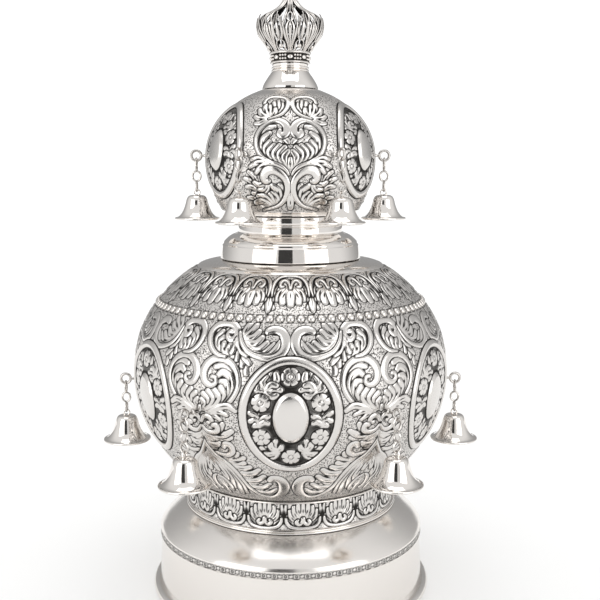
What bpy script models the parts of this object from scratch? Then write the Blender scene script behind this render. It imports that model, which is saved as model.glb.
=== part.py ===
"""Silver Torah crown: two chased globes on a dome-topped skirt, with a small
crown on top and twelve bells on chains.

Units below are millimetres, turned to metres when points become vertices.
+Z is up, the front faces -Y, and azimuth 0 is the front, growing towards +X.
"""
import math

import bmesh
import bpy
from mathutils import Matrix, Vector

MM = 0.001
GAP = 0.3
WALL = 0.9

# Skirt: rolled rim, upright wall, narrow band and dome
RIM_RADIUS = 97.3
RIM_ROLL = 3.2
WALL_FOOT = 7.4
WALL_HEIGHT = 40.2
WALL_TAPER = 1.6
BAND_RADIUS = 94.9
BAND_STEP = 0.9
BAND_HEIGHT = 6.2
DOME_HEIGHT = 16.8
DOME_TOP_RADIUS = 75.4
DOME_LEDGE = 3.6
SKIRT_SEGMENTS = 30

# Chased foot band under the great globe
FOOT_BAND_HEIGHT = 20.8
FOOT_WAIST = 8.2
FOOT_FLANGE = 1.9
FOOT_FLARE = 2.4
FOOT_EDGE = 0.6

# Great globe: fuller below its equator than above it
GREAT_RADIUS = 110.5
GREAT_RISE = 87.6
GREAT_DROP = 103.0
GREAT_BELOW = 78.1
GREAT_ABOVE = 70.3
RING_RISE = 4.9
BEAD_ABOVE = 46.3
BEAD_SIZE = 2.4
BEAD_LIFT = 1.0
GREAT_SEGMENTS = 30

# Collar: plain band, rounded shoulder and a neck of two rings
COLLAR_RADIUS = 49.3
COLLAR_SEAT = 4.3
COLLAR_TAPER = 1.4
COLLAR_BAND_HEIGHT = 9.8
COLLAR_SHOULDER = 8.4
NECK_RADIUS = 36.6
NECK_HEIGHT = 11.5
NECK_GROOVE = 1.0

# Small globe
SMALL_RADIUS = 57.9
SMALL_RISE = 49.5
SMALL_DROP = 63.0
SMALL_BELOW = 35.2
SMALL_ABOVE = 45.4
UNDERSIDE_RISE = 3.8
CROWN_RISE = 1.5
SMALL_SEGMENTS = 24

# Bell-shaped top neck and the small crown
TOP_NECK_RADIUS = 19.3
TOP_NECK_WAIST = 12.1
TOP_NECK_HEIGHT = 16.6
CIRCLET_RADIUS = 13.8
CIRCLET_HEIGHT = 8.3
CAGE_RADIUS = 22.2
CAGE_HEIGHT = 34.4
RIB_THICKNESS = 1.5
RIB_WIDTH = 6.4
LEAF_WIDTH = 4.2
STEM_RADIUS = 4.1
FINIAL_HEIGHT = 15.0
FINIAL_RADIUS = 3.6
RIB_COUNT = 8

# Medallions and heart scrolls: half widths and half heights at the ridge's
# middle, and their heights over the equator of their globe
GREAT_MEDALLIONS = (0, 60, 120, 180, 240, 300)
GREAT_MEDALLION_LEVEL = -11.7
GREAT_FRAME_HALF = (28.0, 35.4)
GREAT_BOSS_HALF = (10.7, 16.0)
SMALL_MEDALLIONS = (60, 180, 300)
SMALL_MEDALLION_LEVEL = 5.3
SMALL_FRAME_HALF = (25.5, 29.8)
SMALL_BOSS_HALF = (9.5, 13.8)
BOSS_LIFT = 1.8
GREAT_HEARTS = (30.7, 90, 149.3, 210.7, 270, 329.3)
GREAT_HEART_LEVEL = -9.7
GREAT_HEART_HALF = 25.5
SMALL_HEARTS = (0, 120, 240)
SMALL_HEART_LEVEL = -10.2
SMALL_HEART_HALF = 23.5
CARVING_SINK = 1.3
FRAME_SECTION = ((-2.4, -CARVING_SINK), (-1.4, 1.4), (1.4, 1.4), (2.4, -CARVING_SINK))
SCROLL_SECTION = ((-1.8, -CARVING_SINK), (0.0, 1.0), (1.8, -CARVING_SINK))

# Posts: a post's level is its height over the equator, and its reach is from
# the globe's wall to its eye
GREAT_POSTS = (33.5, 90, 146.5, 213.5, 270, 326.5)
GREAT_POST_LEVEL = -12.1
GREAT_POST_REACH = 9.2
SMALL_POSTS = (30, 90, 150, 210, 270, 330)
SMALL_POST_LEVEL = 2.1
SMALL_POST_REACH = 7.7
EYE_RING = 3.5
EYE_WIRE = 1.0
SHANK = 1.0
SHANK_ROOT = 1.6

# Chains: the heights of the links, from the eye down
GREAT_LINKS = (8.9, 7.4, 7.4)
SMALL_LINKS = (9.3, 7.4, 7.4)
LINK_ASPECT = 3.2 / 8.2
LINK_WIRE = 0.6
LINK_OVERLAP = 0.4

# Bells: the radius of the mouth, and the rest of the cup as shares of it
GREAT_BELL_MOUTH = 17.0
SMALL_BELL_MOUTH = 15.7
BELL_HEIGHT = 1.11
BELL_SHOULDER = 0.41
BELL_WAIST = 0.71
BELL_LIP = 0.22
BELL_WALL = 0.9
BELL_LOOP = 2.0
LOOP_SUNK = 0.5

# Heights that follow, from the ground up
BAND_TOP = WALL_HEIGHT + BAND_HEIGHT
DOME_TOP = BAND_TOP + DOME_HEIGHT
FOOT_BOTTOM = DOME_TOP + GAP
FOOT_TOP = FOOT_BOTTOM + FOOT_BAND_HEIGHT
GREAT_FOOT = FOOT_TOP + GAP
GREAT_EQUATOR = GREAT_FOOT + GREAT_BELOW
GREAT_SHOULDER = GREAT_EQUATOR + GREAT_ABOVE
GREAT_TOP = GREAT_SHOULDER + RING_RISE
COLLAR_FOOT = GREAT_TOP + GAP
COLLAR_BAND_TOP = COLLAR_FOOT + COLLAR_BAND_HEIGHT
NECK_FOOT = COLLAR_BAND_TOP + COLLAR_SHOULDER
NECK_TOP = NECK_FOOT + NECK_HEIGHT
UNDERSIDE = NECK_TOP + GAP
SMALL_FOOT = UNDERSIDE + UNDERSIDE_RISE
SMALL_EQUATOR = SMALL_FOOT + SMALL_BELOW
SMALL_SHOULDER = SMALL_EQUATOR + SMALL_ABOVE
SMALL_TOP = SMALL_SHOULDER + CROWN_RISE
TOP_NECK_FOOT = SMALL_TOP + GAP
TOP_NECK_TOP = TOP_NECK_FOOT + TOP_NECK_HEIGHT
CIRCLET_FOOT = TOP_NECK_TOP + GAP
CIRCLET_TOP = CIRCLET_FOOT + CIRCLET_HEIGHT
CAGE_TOP = CIRCLET_TOP + CAGE_HEIGHT
FINIAL_TOP = CAGE_TOP + FINIAL_HEIGHT

# Polished silver, and silver with dark in its chasing
POLISHED = ((0.80, 0.79, 0.77, 1.0), 0.12)
CHASED = ((0.62, 0.61, 0.59, 1.0), 0.28)


def material(name, finish):
    """A metal, given as its colour and roughness."""
    colour, roughness = finish
    metal = bpy.data.materials.new(name)
    metal.use_nodes = True
    shader = metal.node_tree.nodes["Principled BSDF"]
    shader.inputs["Base Color"].default_value = colour
    shader.inputs["Roughness"].default_value = roughness
    shader.inputs["Metallic"].default_value = 1.0
    return metal


def new_object(name, mesh, collection, finish=None):
    """An object from a mesh, with a metal of its own if it has a finish."""
    piece = bpy.data.objects.new(name, mesh)
    collection.objects.link(piece)
    if finish:
        # The metal sits on the object, because copies share one mesh
        if not mesh.materials:
            mesh.materials.append(None)
        piece.material_slots[0].link = "OBJECT"
        piece.material_slots[0].material = material(name, finish)
    return piece


def helper(name, mesh):
    """A shape that only cuts or joins others."""
    piece = new_object(name, mesh, helpers)
    piece.hide_render = True
    piece.display_type = "WIRE"
    return piece


def offset_inward(outer, wall):
    """The inner side of a wall: each point moved in along its own normal."""
    inner = []
    for i in range(len(outer)):
        before = Vector(outer[max(i - 1, 0)])
        after = Vector(outer[min(i + 1, len(outer) - 1)])
        along = (after - before).normalized()
        # Outer points run downwards, so the wall lies to their right
        inner.append((outer[i][0] + along.y * wall, outer[i][1] - along.x * wall))
    return inner


def profile_mesh(name, points, closed):
    """A profile in the XZ plane, as edges."""
    count = len(points)
    edges = [(i, i + 1) for i in range(count - 1)]
    if closed:
        edges.append((count - 1, 0))
    mesh = bpy.data.meshes.new(name)
    mesh.from_pydata([(r * MM, 0, z * MM) for r, z in points], edges, [])
    return mesh


def turn(piece, segments):
    """Turn a profile round the Z axis."""
    screw = piece.modifiers.new("Turn", "SCREW")
    screw.steps = segments
    screw.render_steps = segments
    screw.use_merge_vertices = True
    screw.merge_threshold = 0.00005
    return piece


def turned(name, points, segments, finish, closed=True):
    """A turned piece from its profile, outer side first and downwards."""
    return turn(new_object(name, profile_mesh(name, points, closed), crown, finish), segments)


def turned_helper(name, points, segments):
    """A turned helper, from a profile that starts and ends on the axis."""
    return turn(helper(name, profile_mesh(name, points, False)), segments)


def join(piece, other, operation):
    """Add another shape to a piece, or cut it away."""
    modifier = piece.modifiers.new(other.name, "BOOLEAN")
    modifier.operation = operation
    modifier.solver = "EXACT"
    modifier.object = other


class Globe:
    """A globe's outer surface, fuller below its equator than above it."""

    def __init__(self, radius, equator, rise, drop):
        self.radius = radius
        self.equator = equator
        self.rise = rise
        self.drop = drop

    def angle(self, height):
        """The angle over the equator at a height."""
        half = self.rise if height > self.equator else self.drop
        return math.asin(max(-1, min(1, (height - self.equator) / half)))

    def radius_at(self, height):
        """The distance from the axis at a height."""
        return self.radius * math.cos(self.angle(height))

    def side(self, top, bottom, count):
        """Points down the side, evenly spaced in angle."""
        first, last = self.angle(top), self.angle(bottom)
        points = []
        for i in range(count):
            a = first + (last - first) * i / (count - 1)
            half = self.rise if a > 0 else self.drop
            points.append((self.radius * math.cos(a), self.equator + half * math.sin(a)))
        return points

    def place(self, azimuth, height, lift):
        """The point and normal at an azimuth in degrees and a height."""
        half = self.rise if height > self.equator else self.drop
        share = (height - self.equator) / half
        across = math.cos(self.angle(height))
        a = math.radians(azimuth)
        out = Vector((math.sin(a), -math.cos(a), 0))
        normal = (out * (across / self.radius) + Vector((0, 0, share / half))).normalized()
        point = out * (self.radius * across) + Vector((0, 0, height))
        return point + normal * lift, normal

    def azimuth(self, centre, across):
        """The azimuth that lies some millimetres beside a centre."""
        return centre + math.degrees(across / self.radius)


GREAT = Globe(GREAT_RADIUS, GREAT_EQUATOR, GREAT_RISE, GREAT_DROP)
SMALL = Globe(SMALL_RADIUS, SMALL_EQUATOR, SMALL_RISE, SMALL_DROP)


def ridge(form, globe, path, section, closed):
    """A raised strip along a path of (azimuth, height) points on a globe.

    The section is a list of (across, lift) points, from side to side.
    """
    count = len(path)
    corners = len(section)
    seats = [globe.place(a, z, 0) for a, z in path]
    rings = []
    for i, (point, normal) in enumerate(seats):
        before = seats[(i - 1) % count if closed else max(i - 1, 0)][0]
        after = seats[(i + 1) % count if closed else min(i + 1, count - 1)][0]
        side = normal.cross(after - before).normalized()
        rings.append([
            form.verts.new((point + side * across + normal * lift) * MM)
            for across, lift in section
        ])
    steps = count if closed else count - 1
    for i in range(steps):
        near, far = rings[i], rings[(i + 1) % count]
        for k in range(corners):
            m = (k + 1) % corners
            form.faces.new((near[k], near[m], far[m], far[k]))
    if not closed:
        form.faces.new(rings[0])
        form.faces.new(rings[-1])


def boss(form, globe, azimuth, height, half, rise, count):
    """A domed oval on a globe, with its underside sunk in the wall."""
    rings = []
    for scale, lift in ((1.0, -CARVING_SINK), (1.0, 0.4 * rise), (0.6, rise)):
        rings.append([
            form.verts.new(globe.place(
                globe.azimuth(azimuth, half[0] * scale * math.cos(2 * math.pi * i / count)),
                height + half[1] * scale * math.sin(2 * math.pi * i / count),
                lift,
            )[0] * MM)
            for i in range(count)
        ])
    for low, high in zip(rings, rings[1:]):
        for i in range(count):
            k = (i + 1) % count
            form.faces.new((low[i], low[k], high[k], high[i]))
    form.faces.new(rings[0])
    form.faces.new(rings[-1])


def oval_path(globe, azimuth, height, half, count):
    """An oval on a globe as (azimuth, height) points."""
    path = []
    for i in range(count):
        t = 2 * math.pi * i / count
        path.append((globe.azimuth(azimuth, half[0] * math.cos(t)), height + half[1] * math.sin(t)))
    return path


def heart_path(globe, azimuth, tip, half, side):
    """Half a heart of scrolls, from its tip out, over the lobe and into the curl."""
    shape = ((0.06, 0.0), (0.78, 0.52), (0.98, 1.04), (0.62, 1.38), (0.24, 1.22), (0.3, 0.84))
    return [(globe.azimuth(azimuth, side * half * u), tip + half * v) for u, v in shape]


def carve(piece, name, form):
    """Join a carving's separate ridges and bosses to a turned piece."""
    bmesh.ops.recalc_face_normals(form, faces=form.faces)
    mesh = bpy.data.meshes.new(name)
    form.to_mesh(mesh)
    form.free()
    join(piece, helper(name, mesh), "UNION")


def carved_globe(piece, globe, medallions, level, frame, middle, hearts, tip, half):
    """Medallion frames, their domed ovals and the hearts between them."""
    form = bmesh.new()
    height = globe.equator + level
    for azimuth in medallions:
        ridge(form, globe, oval_path(globe, azimuth, height, frame, 10), FRAME_SECTION, True)
        boss(form, globe, azimuth, height, middle, BOSS_LIFT, 8)
    for azimuth in hearts:
        for side in (-1, 1):
            path = heart_path(globe, azimuth, globe.equator + tip, half, side)
            ridge(form, globe, path, SCROLL_SECTION, False)
    carve(piece, piece.name + "_carving", form)


def hollow(piece, inner, segments):
    """Cut out the inside, in at the mouth and out at the foot."""
    (mouth_radius, mouth), (foot_radius, foot) = inner[0], inner[-1]
    above, below = mouth + 2 * WALL, foot - 2 * WALL
    points = [(0, above), (mouth_radius, above)] + inner + [(foot_radius, below), (0, below)]
    join(piece, turned_helper(piece.name + "_inside", points, segments), "DIFFERENCE")


def mixed(first, last, shares):
    """Points between two corners, by (radius share, height share)."""
    return [
        (first[0] + (last[0] - first[0]) * r, first[1] + (last[1] - first[1]) * z)
        for r, z in shares
    ]


def base_skirt():
    """The skirt that fits over the two staves, with its rolled rim."""
    crest = (DOME_TOP_RADIUS, DOME_TOP)
    brow = (BAND_RADIUS, BAND_TOP)
    dome = [(DOME_TOP_RADIUS - DOME_LEDGE, DOME_TOP), crest]
    dome += mixed(crest, brow, ((0.37, 0.27), (0.71, 0.6), (0.92, 0.85))) + [brow]
    kink = BAND_RADIUS - BAND_STEP
    band = [(BAND_RADIUS, WALL_HEIGHT + BAND_STEP), (kink, WALL_HEIGHT)]
    foot = kink + WALL_TAPER
    wall = [(foot, WALL_FOOT)]
    roll = []
    for degrees in (75, 20, -20, -90):
        a = math.radians(degrees)
        roll.append((RIM_RADIUS + RIM_ROLL * math.cos(a), RIM_ROLL + RIM_ROLL * math.sin(a)))
    inside = [(RIM_RADIUS - RIM_ROLL, 0), (foot - WALL, WALL_FOOT), (kink - WALL, WALL_HEIGHT)]
    inside += mixed((DOME_TOP_RADIUS - WALL, DOME_TOP - WALL), (kink - WALL, BAND_TOP), ((0.96, 0.9),))
    inside.append((DOME_TOP_RADIUS - DOME_LEDGE, DOME_TOP - WALL))
    return turned("base_skirt", dome + band + wall + roll + inside, SKIRT_SEGMENTS, POLISHED)


def foot_band():
    """The chased band between the skirt's dome and the great globe."""
    top = GREAT.radius_at(GREAT_FOOT) + FOOT_EDGE
    flange = DOME_TOP_RADIUS + FOOT_EDGE
    waist = (flange - FOOT_FLARE, FOOT_BOTTOM + FOOT_WAIST)
    outer = [(top, FOOT_TOP), waist, (flange, FOOT_BOTTOM + FOOT_FLANGE), (flange, FOOT_BOTTOM)]
    inner = [(waist[0] - WALL, FOOT_BOTTOM), (waist[0] - WALL, waist[1]), (top - WALL, FOOT_TOP)]
    return turned("foot_band", outer + inner, SKIRT_SEGMENTS, CHASED)


def great_globe():
    """The great globe, open at its foot and its shoulder."""
    bead_row = GREAT_EQUATOR + BEAD_ABOVE
    upper = GREAT.side(GREAT_SHOULDER, bead_row + BEAD_SIZE, 3)
    lower = GREAT.side(bead_row - BEAD_SIZE, GREAT_FOOT, 7)
    bead_radius = GREAT.radius_at(bead_row) + BEAD_LIFT
    mouth = (COLLAR_RADIUS - COLLAR_SEAT, GREAT_TOP)
    ring = [mouth] + mixed(mouth, upper[0], ((0.79, 0.47),))
    outer = [(0, GREAT_TOP)] + ring + upper + [(bead_radius, bead_row)] + lower + [(0, GREAT_FOOT)]
    piece = turned("great_globe", outer, GREAT_SEGMENTS, CHASED, False)
    carved_globe(
        piece, GREAT, GREAT_MEDALLIONS, GREAT_MEDALLION_LEVEL, GREAT_FRAME_HALF,
        GREAT_BOSS_HALF, GREAT_HEARTS, GREAT_HEART_LEVEL, GREAT_HEART_HALF,
    )
    inner = offset_inward(ring + upper[:1] + GREAT.side(bead_row, GREAT_FOOT, 7), WALL)
    inner[0] = (mouth[0], GREAT_TOP - WALL)
    inner[-1] = (inner[-1][0], GREAT_FOOT)
    hollow(piece, inner, GREAT_SEGMENTS)
    return piece


def collar():
    """The plain collar: neck rings, rounded shoulder and upright band."""
    middle = NECK_FOOT + NECK_HEIGHT / 2
    neck = [(NECK_RADIUS, NECK_TOP), (NECK_RADIUS, middle + NECK_GROOVE),
            (NECK_RADIUS - NECK_GROOVE, middle), (NECK_RADIUS, middle - NECK_GROOVE),
            (NECK_RADIUS, NECK_FOOT)]
    brow = (COLLAR_RADIUS - COLLAR_TAPER, COLLAR_BAND_TOP)
    shoulder = mixed(neck[-1], brow, ((0.51, 0.28), (0.85, 0.73))) + [brow]
    outer = neck + shoulder + [(COLLAR_RADIUS, COLLAR_FOOT)]
    inner = [(COLLAR_RADIUS - WALL, COLLAR_FOOT), (brow[0] - WALL, COLLAR_BAND_TOP - GAP),
             (NECK_RADIUS - NECK_GROOVE - WALL, NECK_FOOT - WALL),
             (NECK_RADIUS - NECK_GROOVE - WALL, NECK_TOP)]
    return turned("collar", outer + inner, SMALL_SEGMENTS, POLISHED)


def small_globe():
    """The small globe, with its plain underside turned in to the neck."""
    side = SMALL.side(SMALL_SHOULDER, SMALL_FOOT, 7)
    seat = (NECK_RADIUS - NECK_GROOVE - WALL, UNDERSIDE)
    under = mixed(side[-1], seat, ((0.3, 0.74),)) + [seat]
    mouth = (TOP_NECK_RADIUS - 3 * WALL, SMALL_TOP)
    outer = [(0, SMALL_TOP), mouth] + side + under + [(0, UNDERSIDE)]
    piece = turned("small_globe", outer, SMALL_SEGMENTS, CHASED, False)
    carved_globe(
        piece, SMALL, SMALL_MEDALLIONS, SMALL_MEDALLION_LEVEL, SMALL_FRAME_HALF,
        SMALL_BOSS_HALF, SMALL_HEARTS, SMALL_HEART_LEVEL, SMALL_HEART_HALF,
    )
    inner = offset_inward([mouth] + SMALL.side(SMALL_SHOULDER, SMALL_FOOT, 6) + under, WALL)
    inner[0] = (mouth[0], SMALL_TOP - WALL)
    inner[-1] = (seat[0], UNDERSIDE + WALL)
    hollow(piece, inner, SMALL_SEGMENTS)
    return piece


def top_neck():
    """The polished bell-shaped neck that carries the small crown."""
    top = (TOP_NECK_WAIST, TOP_NECK_TOP)
    foot = (TOP_NECK_RADIUS, TOP_NECK_FOOT)
    groove = (TOP_NECK_WAIST - WALL / 2, TOP_NECK_TOP - 0.14 * TOP_NECK_HEIGHT)
    outer = [top, groove] + mixed(top, foot, ((0.03, 0.28), (0.57, 0.57), (0.92, 0.83))) + [foot]
    bore = TOP_NECK_WAIST - 1.5 * WALL
    inner = [(TOP_NECK_RADIUS - WALL, TOP_NECK_FOOT),
             (bore, TOP_NECK_FOOT + 0.66 * TOP_NECK_HEIGHT), (bore, TOP_NECK_TOP)]
    return turned("top_neck", outer + inner, 18, POLISHED)


def strap(form, azimuth, path, widths, thickness):
    """A leaf with a keel on its outer face, along a path of (radius, height) points."""
    a = math.radians(azimuth)
    out = Vector((math.sin(a), -math.cos(a), 0))
    side = Vector((math.cos(a), math.sin(a), 0))
    points = [out * r + Vector((0, 0, z)) for r, z in path]
    rings = []
    for i, point in enumerate(points):
        along = points[min(i + 1, len(points) - 1)] - points[max(i - 1, 0)]
        face = along.cross(side).normalized()
        half = widths[i] / 2
        corners = ((-half, -0.5), (half, -0.5), (0, 0.8))
        rings.append([
            form.verts.new((point + side * s + face * (t * thickness)) * MM) for s, t in corners
        ])
    for near, far in zip(rings, rings[1:]):
        for k in range(3):
            form.faces.new((near[k], near[(k + 1) % 3], far[(k + 1) % 3], far[k]))
    form.faces.new(rings[0])
    form.faces.new(rings[-1])


def small_crown():
    """The cast crown: circlet, eight ribs swept up to the stem, eight leaves."""
    r = CIRCLET_RADIUS
    low, high = CIRCLET_FOOT, CIRCLET_TOP
    bore = TOP_NECK_WAIST - 1.5 * WALL
    outer = [(r + GAP, high), (r - GAP, high - 0.22 * CIRCLET_HEIGHT),
             (r - GAP, low + 0.4 * CIRCLET_HEIGHT), (r + GAP, low + 0.2 * CIRCLET_HEIGHT),
             (TOP_NECK_WAIST + 2 * GAP, low)]
    piece = turned("small_crown", outer + [(bore, low), (bore, high)], 16, CHASED)

    form = bmesh.new()
    # The leaves start inside the circlet's wall and the ribs end inside the stem
    foot = ((r + bore) / 2, high - 2 * GAP)
    belly = (CAGE_RADIUS, high + 0.41 * CAGE_HEIGHT)
    tip = (STEM_RADIUS - 1.0, CAGE_TOP)
    rib = [foot] + mixed(foot, belly, ((0.6, 0.45),)) + [belly]
    rib += mixed(belly, tip, ((0.1, 0.39), (0.67, 0.69))) + [tip]
    leaf = [foot] + mixed(foot, belly, ((0.71, 0.6), (0.95, 1.2), (0.72, 1.67)))
    for i in range(RIB_COUNT):
        azimuth = 360 * i / RIB_COUNT
        rib_widths = [RIB_WIDTH * share for share in (0.4, 0.56, 1, 0.78, 0.44, 0.28)]
        leaf_widths = [LEAF_WIDTH * share for share in (0.43, 0.9, 1, 0.3)]
        strap(form, azimuth, rib, rib_widths, RIB_THICKNESS)
        strap(form, azimuth + 180 / RIB_COUNT, leaf, leaf_widths, RIB_THICKNESS - GAP)
    carve(piece, "cage", form)

    stem = [(0, FINIAL_TOP), (FINIAL_RADIUS, CAGE_TOP + 0.7 * FINIAL_HEIGHT),
            (0.6 * FINIAL_RADIUS, CAGE_TOP + 0.43 * FINIAL_HEIGHT), (STEM_RADIUS, CAGE_TOP),
            (STEM_RADIUS + 2 * GAP, CAGE_TOP - 0.13 * CAGE_HEIGHT), (0, CAGE_TOP - 0.17 * CAGE_HEIGHT)]
    join(piece, turned_helper("stem", stem, 8), "UNION")
    return piece


def united(shapes):
    """One mesh from overlapping shapes; the shapes are used up."""
    body = shapes[0]
    for other in shapes[1:]:
        join(body, other, "UNION")
    bpy.context.view_layer.update()
    graph = bpy.context.evaluated_depsgraph_get()
    mesh = bpy.data.meshes.new_from_object(body.evaluated_get(graph))
    # Points move from the shape's own place to the place of its origin
    mesh.transform(body.matrix_world)
    for shape in shapes:
        bpy.data.objects.remove(shape)
    return mesh


def ring_shape(name, radius, wire, place, stretch=1.0, segments=6, sides=3):
    """A ring of wire, taller than wide if stretched along Z."""
    bpy.ops.mesh.primitive_torus_add(
        major_radius=radius * MM, minor_radius=wire * MM,
        major_segments=segments, minor_segments=sides,
    )
    ring = bpy.context.object
    ring.name = name
    # A corner of the path at the top and one at the foot, so the height is true
    ring.data.transform(Matrix.Rotation(math.pi / 2, 4, "Z"))
    for vertex in ring.data.vertices:
        x, y, z = vertex.co
        reach = math.hypot(x, y)
        # Stretch the ring's path and leave the wire's thickness as it is
        grow = (stretch - 1) * radius * MM * y / reach
        vertex.co = place @ Vector((x, y + grow, z))
    ring.data.update()
    return ring


def ring_place(offset, turned_across):
    """Stand a flat ring upright, in the radial plane or across it."""
    upright = Matrix.Rotation(math.pi / 2, 4, "X")
    quarter = Matrix.Rotation(math.pi / 2 if turned_across else 0, 4, "Z")
    return Matrix.Translation(Vector(offset) * MM) @ quarter @ upright


def post_mesh(reach):
    """A shank from the globe's wall and an eye at the origin, in the XZ plane."""
    eye = ring_shape("eye", EYE_RING, EYE_WIRE, ring_place((0, 0, 0), False))
    bpy.ops.mesh.primitive_cone_add(
        vertices=5, radius1=SHANK_ROOT * MM, radius2=SHANK * MM, depth=(reach - EYE_RING) * MM,
        location=(-(reach + EYE_RING) / 2 * MM, 0, 0), rotation=(0, math.pi / 2, 0),
    )
    shank = bpy.context.object
    return united([shank, eye])


def chain_mesh(heights):
    """Links below an eye at the origin, every other one turned across."""
    links = []
    top = -EYE_RING + EYE_WIRE + LINK_WIRE + GAP
    width = heights[-1] * LINK_ASPECT
    for i, tall in enumerate(heights):
        place = ring_place((0, 0, top - tall / 2), i % 2 == 0)
        links.append(ring_shape("link", width, LINK_WIRE, place, tall / 2 / width))
        top = top - tall + LINK_OVERLAP
    return united(links)


def chain_end(heights):
    """How far below the eye the wire of a bell's own loop hangs."""
    top = -EYE_RING + EYE_WIRE + LINK_WIRE + GAP
    for tall in heights:
        top = top - tall + LINK_OVERLAP
    return top - LINK_OVERLAP + 2 * LINK_WIRE + GAP


def bell_mesh(mouth):
    """A hollow bell with a flared lip, its crown at the origin, and its loop."""
    shoulder, waist = mouth * BELL_SHOULDER, mouth * BELL_WAIST
    foot = -mouth * BELL_HEIGHT
    lip = foot + mouth * BELL_LIP
    outer = [(0, 0), (shoulder, -BELL_WALL), (waist, lip), (mouth, foot)]
    inner = [(waist - BELL_WALL, lip - BELL_WALL), (shoulder - BELL_WALL, -2.5 * BELL_WALL),
             (0, -1.5 * BELL_WALL)]
    cup = turned_helper("cup", outer + inner, 10)
    loop_place = ring_place((0, 0, BELL_LOOP - LOOP_SUNK), False)
    loop = ring_shape("loop", BELL_LOOP, LINK_WIRE, loop_place)
    return united([cup, loop])


def hang(prefix, globe, azimuths, level, reach, links, mouth):
    """A post, a chain and a bell at each azimuth round a globe."""
    height = globe.equator + level
    eye_radius = globe.radius_at(height) + reach
    meshes = {
        "post": post_mesh(reach - GAP),
        "chain": chain_mesh(links),
        "bell": bell_mesh(mouth),
    }
    drops = {"post": 0, "chain": 0, "bell": chain_end(links) - 2 * BELL_LOOP + LOOP_SUNK}
    for number, azimuth in enumerate(azimuths, 1):
        a = math.radians(azimuth)
        out = Vector((math.sin(a), -math.cos(a), 0))
        for kind, mesh in meshes.items():
            piece = new_object(f"{prefix}_{kind}_{number}", mesh, crown, POLISHED)
            piece.location = (out * eye_radius + Vector((0, 0, height + drops[kind]))) * MM
            piece.rotation_euler = (0, 0, a - math.pi / 2)


def finish_shading():
    """Smooth the turned sides and keep the carved edges."""
    for piece in crown.objects:
        piece.data.shade_smooth()
        piece.data.set_sharp_from_angle(angle=math.radians(35))


for old in list(bpy.data.objects):
    bpy.data.objects.remove(old)

crown = bpy.data.collections.new("torah_crown")
helpers = bpy.data.collections.new("helpers")
for group in (crown, helpers):
    bpy.context.scene.collection.children.link(group)

base_skirt()
foot_band()
great_globe()
collar()
small_globe()
top_neck()
small_crown()
hang("great", GREAT, GREAT_POSTS, GREAT_POST_LEVEL, GREAT_POST_REACH, GREAT_LINKS, GREAT_BELL_MOUTH)
hang("small", SMALL, SMALL_POSTS, SMALL_POST_LEVEL, SMALL_POST_REACH, SMALL_LINKS, SMALL_BELL_MOUTH)
finish_shading()
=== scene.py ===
# %% [markdown]
# # A silver Torah crown in cells
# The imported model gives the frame: one body and 43 nodes, already in place. The cells below
# build what the eye sees round that frame. Lengths are in millimetres until a mesh is made,
# azimuth 0 is the front of the crown, and azimuths grow towards +X.

# %% The frame
import math

import bpy
import numpy as np
from mathutils import Matrix, Vector


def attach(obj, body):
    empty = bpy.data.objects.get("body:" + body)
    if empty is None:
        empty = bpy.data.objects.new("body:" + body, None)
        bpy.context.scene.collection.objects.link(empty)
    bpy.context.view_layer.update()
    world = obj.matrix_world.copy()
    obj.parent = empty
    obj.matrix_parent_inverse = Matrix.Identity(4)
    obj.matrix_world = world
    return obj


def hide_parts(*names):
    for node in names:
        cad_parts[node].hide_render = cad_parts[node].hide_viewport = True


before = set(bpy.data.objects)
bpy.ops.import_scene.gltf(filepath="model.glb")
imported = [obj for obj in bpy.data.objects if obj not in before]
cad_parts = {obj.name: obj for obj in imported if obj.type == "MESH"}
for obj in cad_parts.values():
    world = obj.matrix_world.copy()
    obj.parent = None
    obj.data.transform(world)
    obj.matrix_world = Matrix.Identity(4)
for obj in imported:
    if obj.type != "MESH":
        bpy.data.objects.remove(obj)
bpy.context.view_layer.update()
MM = 0.001
print("nodes in the frame:", len(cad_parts))

# %% [markdown]
# ## Camera
# The photograph looks slightly down at the crown from about 64 centimetres. A 54 mm lens on a
# 36 mm sensor gives the same perspective: the rings near the rim open up and those near the
# lens are almost flat. The crown stands a little left of the middle, so the camera aims a
# little to its right instead of using lens shift.

# %% Camera
CAMERA_PLACE = (0.0, -0.636, 0.2987)
CAMERA_PITCH = 8.157
CAMERA_TURN = 0.605
camera_data = bpy.data.cameras.new("camera")
camera_data.lens = 54.0
camera_data.sensor_width = 36.0
camera_data.clip_start = 0.01
camera = bpy.data.objects.new("camera", camera_data)
camera.location = CAMERA_PLACE
camera.rotation_euler = (math.radians(90 - CAMERA_PITCH), 0, -math.radians(CAMERA_TURN))
bpy.context.scene.collection.objects.link(camera)
bpy.context.scene.camera = camera
bpy.context.scene.view_settings.view_transform = "Standard"
print("camera at", CAMERA_PLACE)

# %% [markdown]
# ## Materials
# Silver is a metal shader with a pale, slightly warm colour. What makes it look like silver is
# what it reflects and how the polish wavers, so a group gives the wavering. The chasing needs
# a second effect, the patina: sulphur black stays in the lines and in the punched ground when
# the crests are rubbed bright. Both are node groups, so every metal shares them.


# %% Helper for node groups
def node_group(name, inputs, outputs):
    """An empty shader group with named sockets, and its input and output nodes."""
    group = bpy.data.node_groups.new(name, "ShaderNodeTree")
    for label, kind, value in inputs:
        socket = group.interface.new_socket(name=label, in_out="INPUT", socket_type=kind)
        if value is not None:
            socket.default_value = value
    for label, kind in outputs:
        group.interface.new_socket(name=label, in_out="OUTPUT", socket_type=kind)
    return group, group.nodes.new("NodeGroupInput"), group.nodes.new("NodeGroupOutput")


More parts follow.
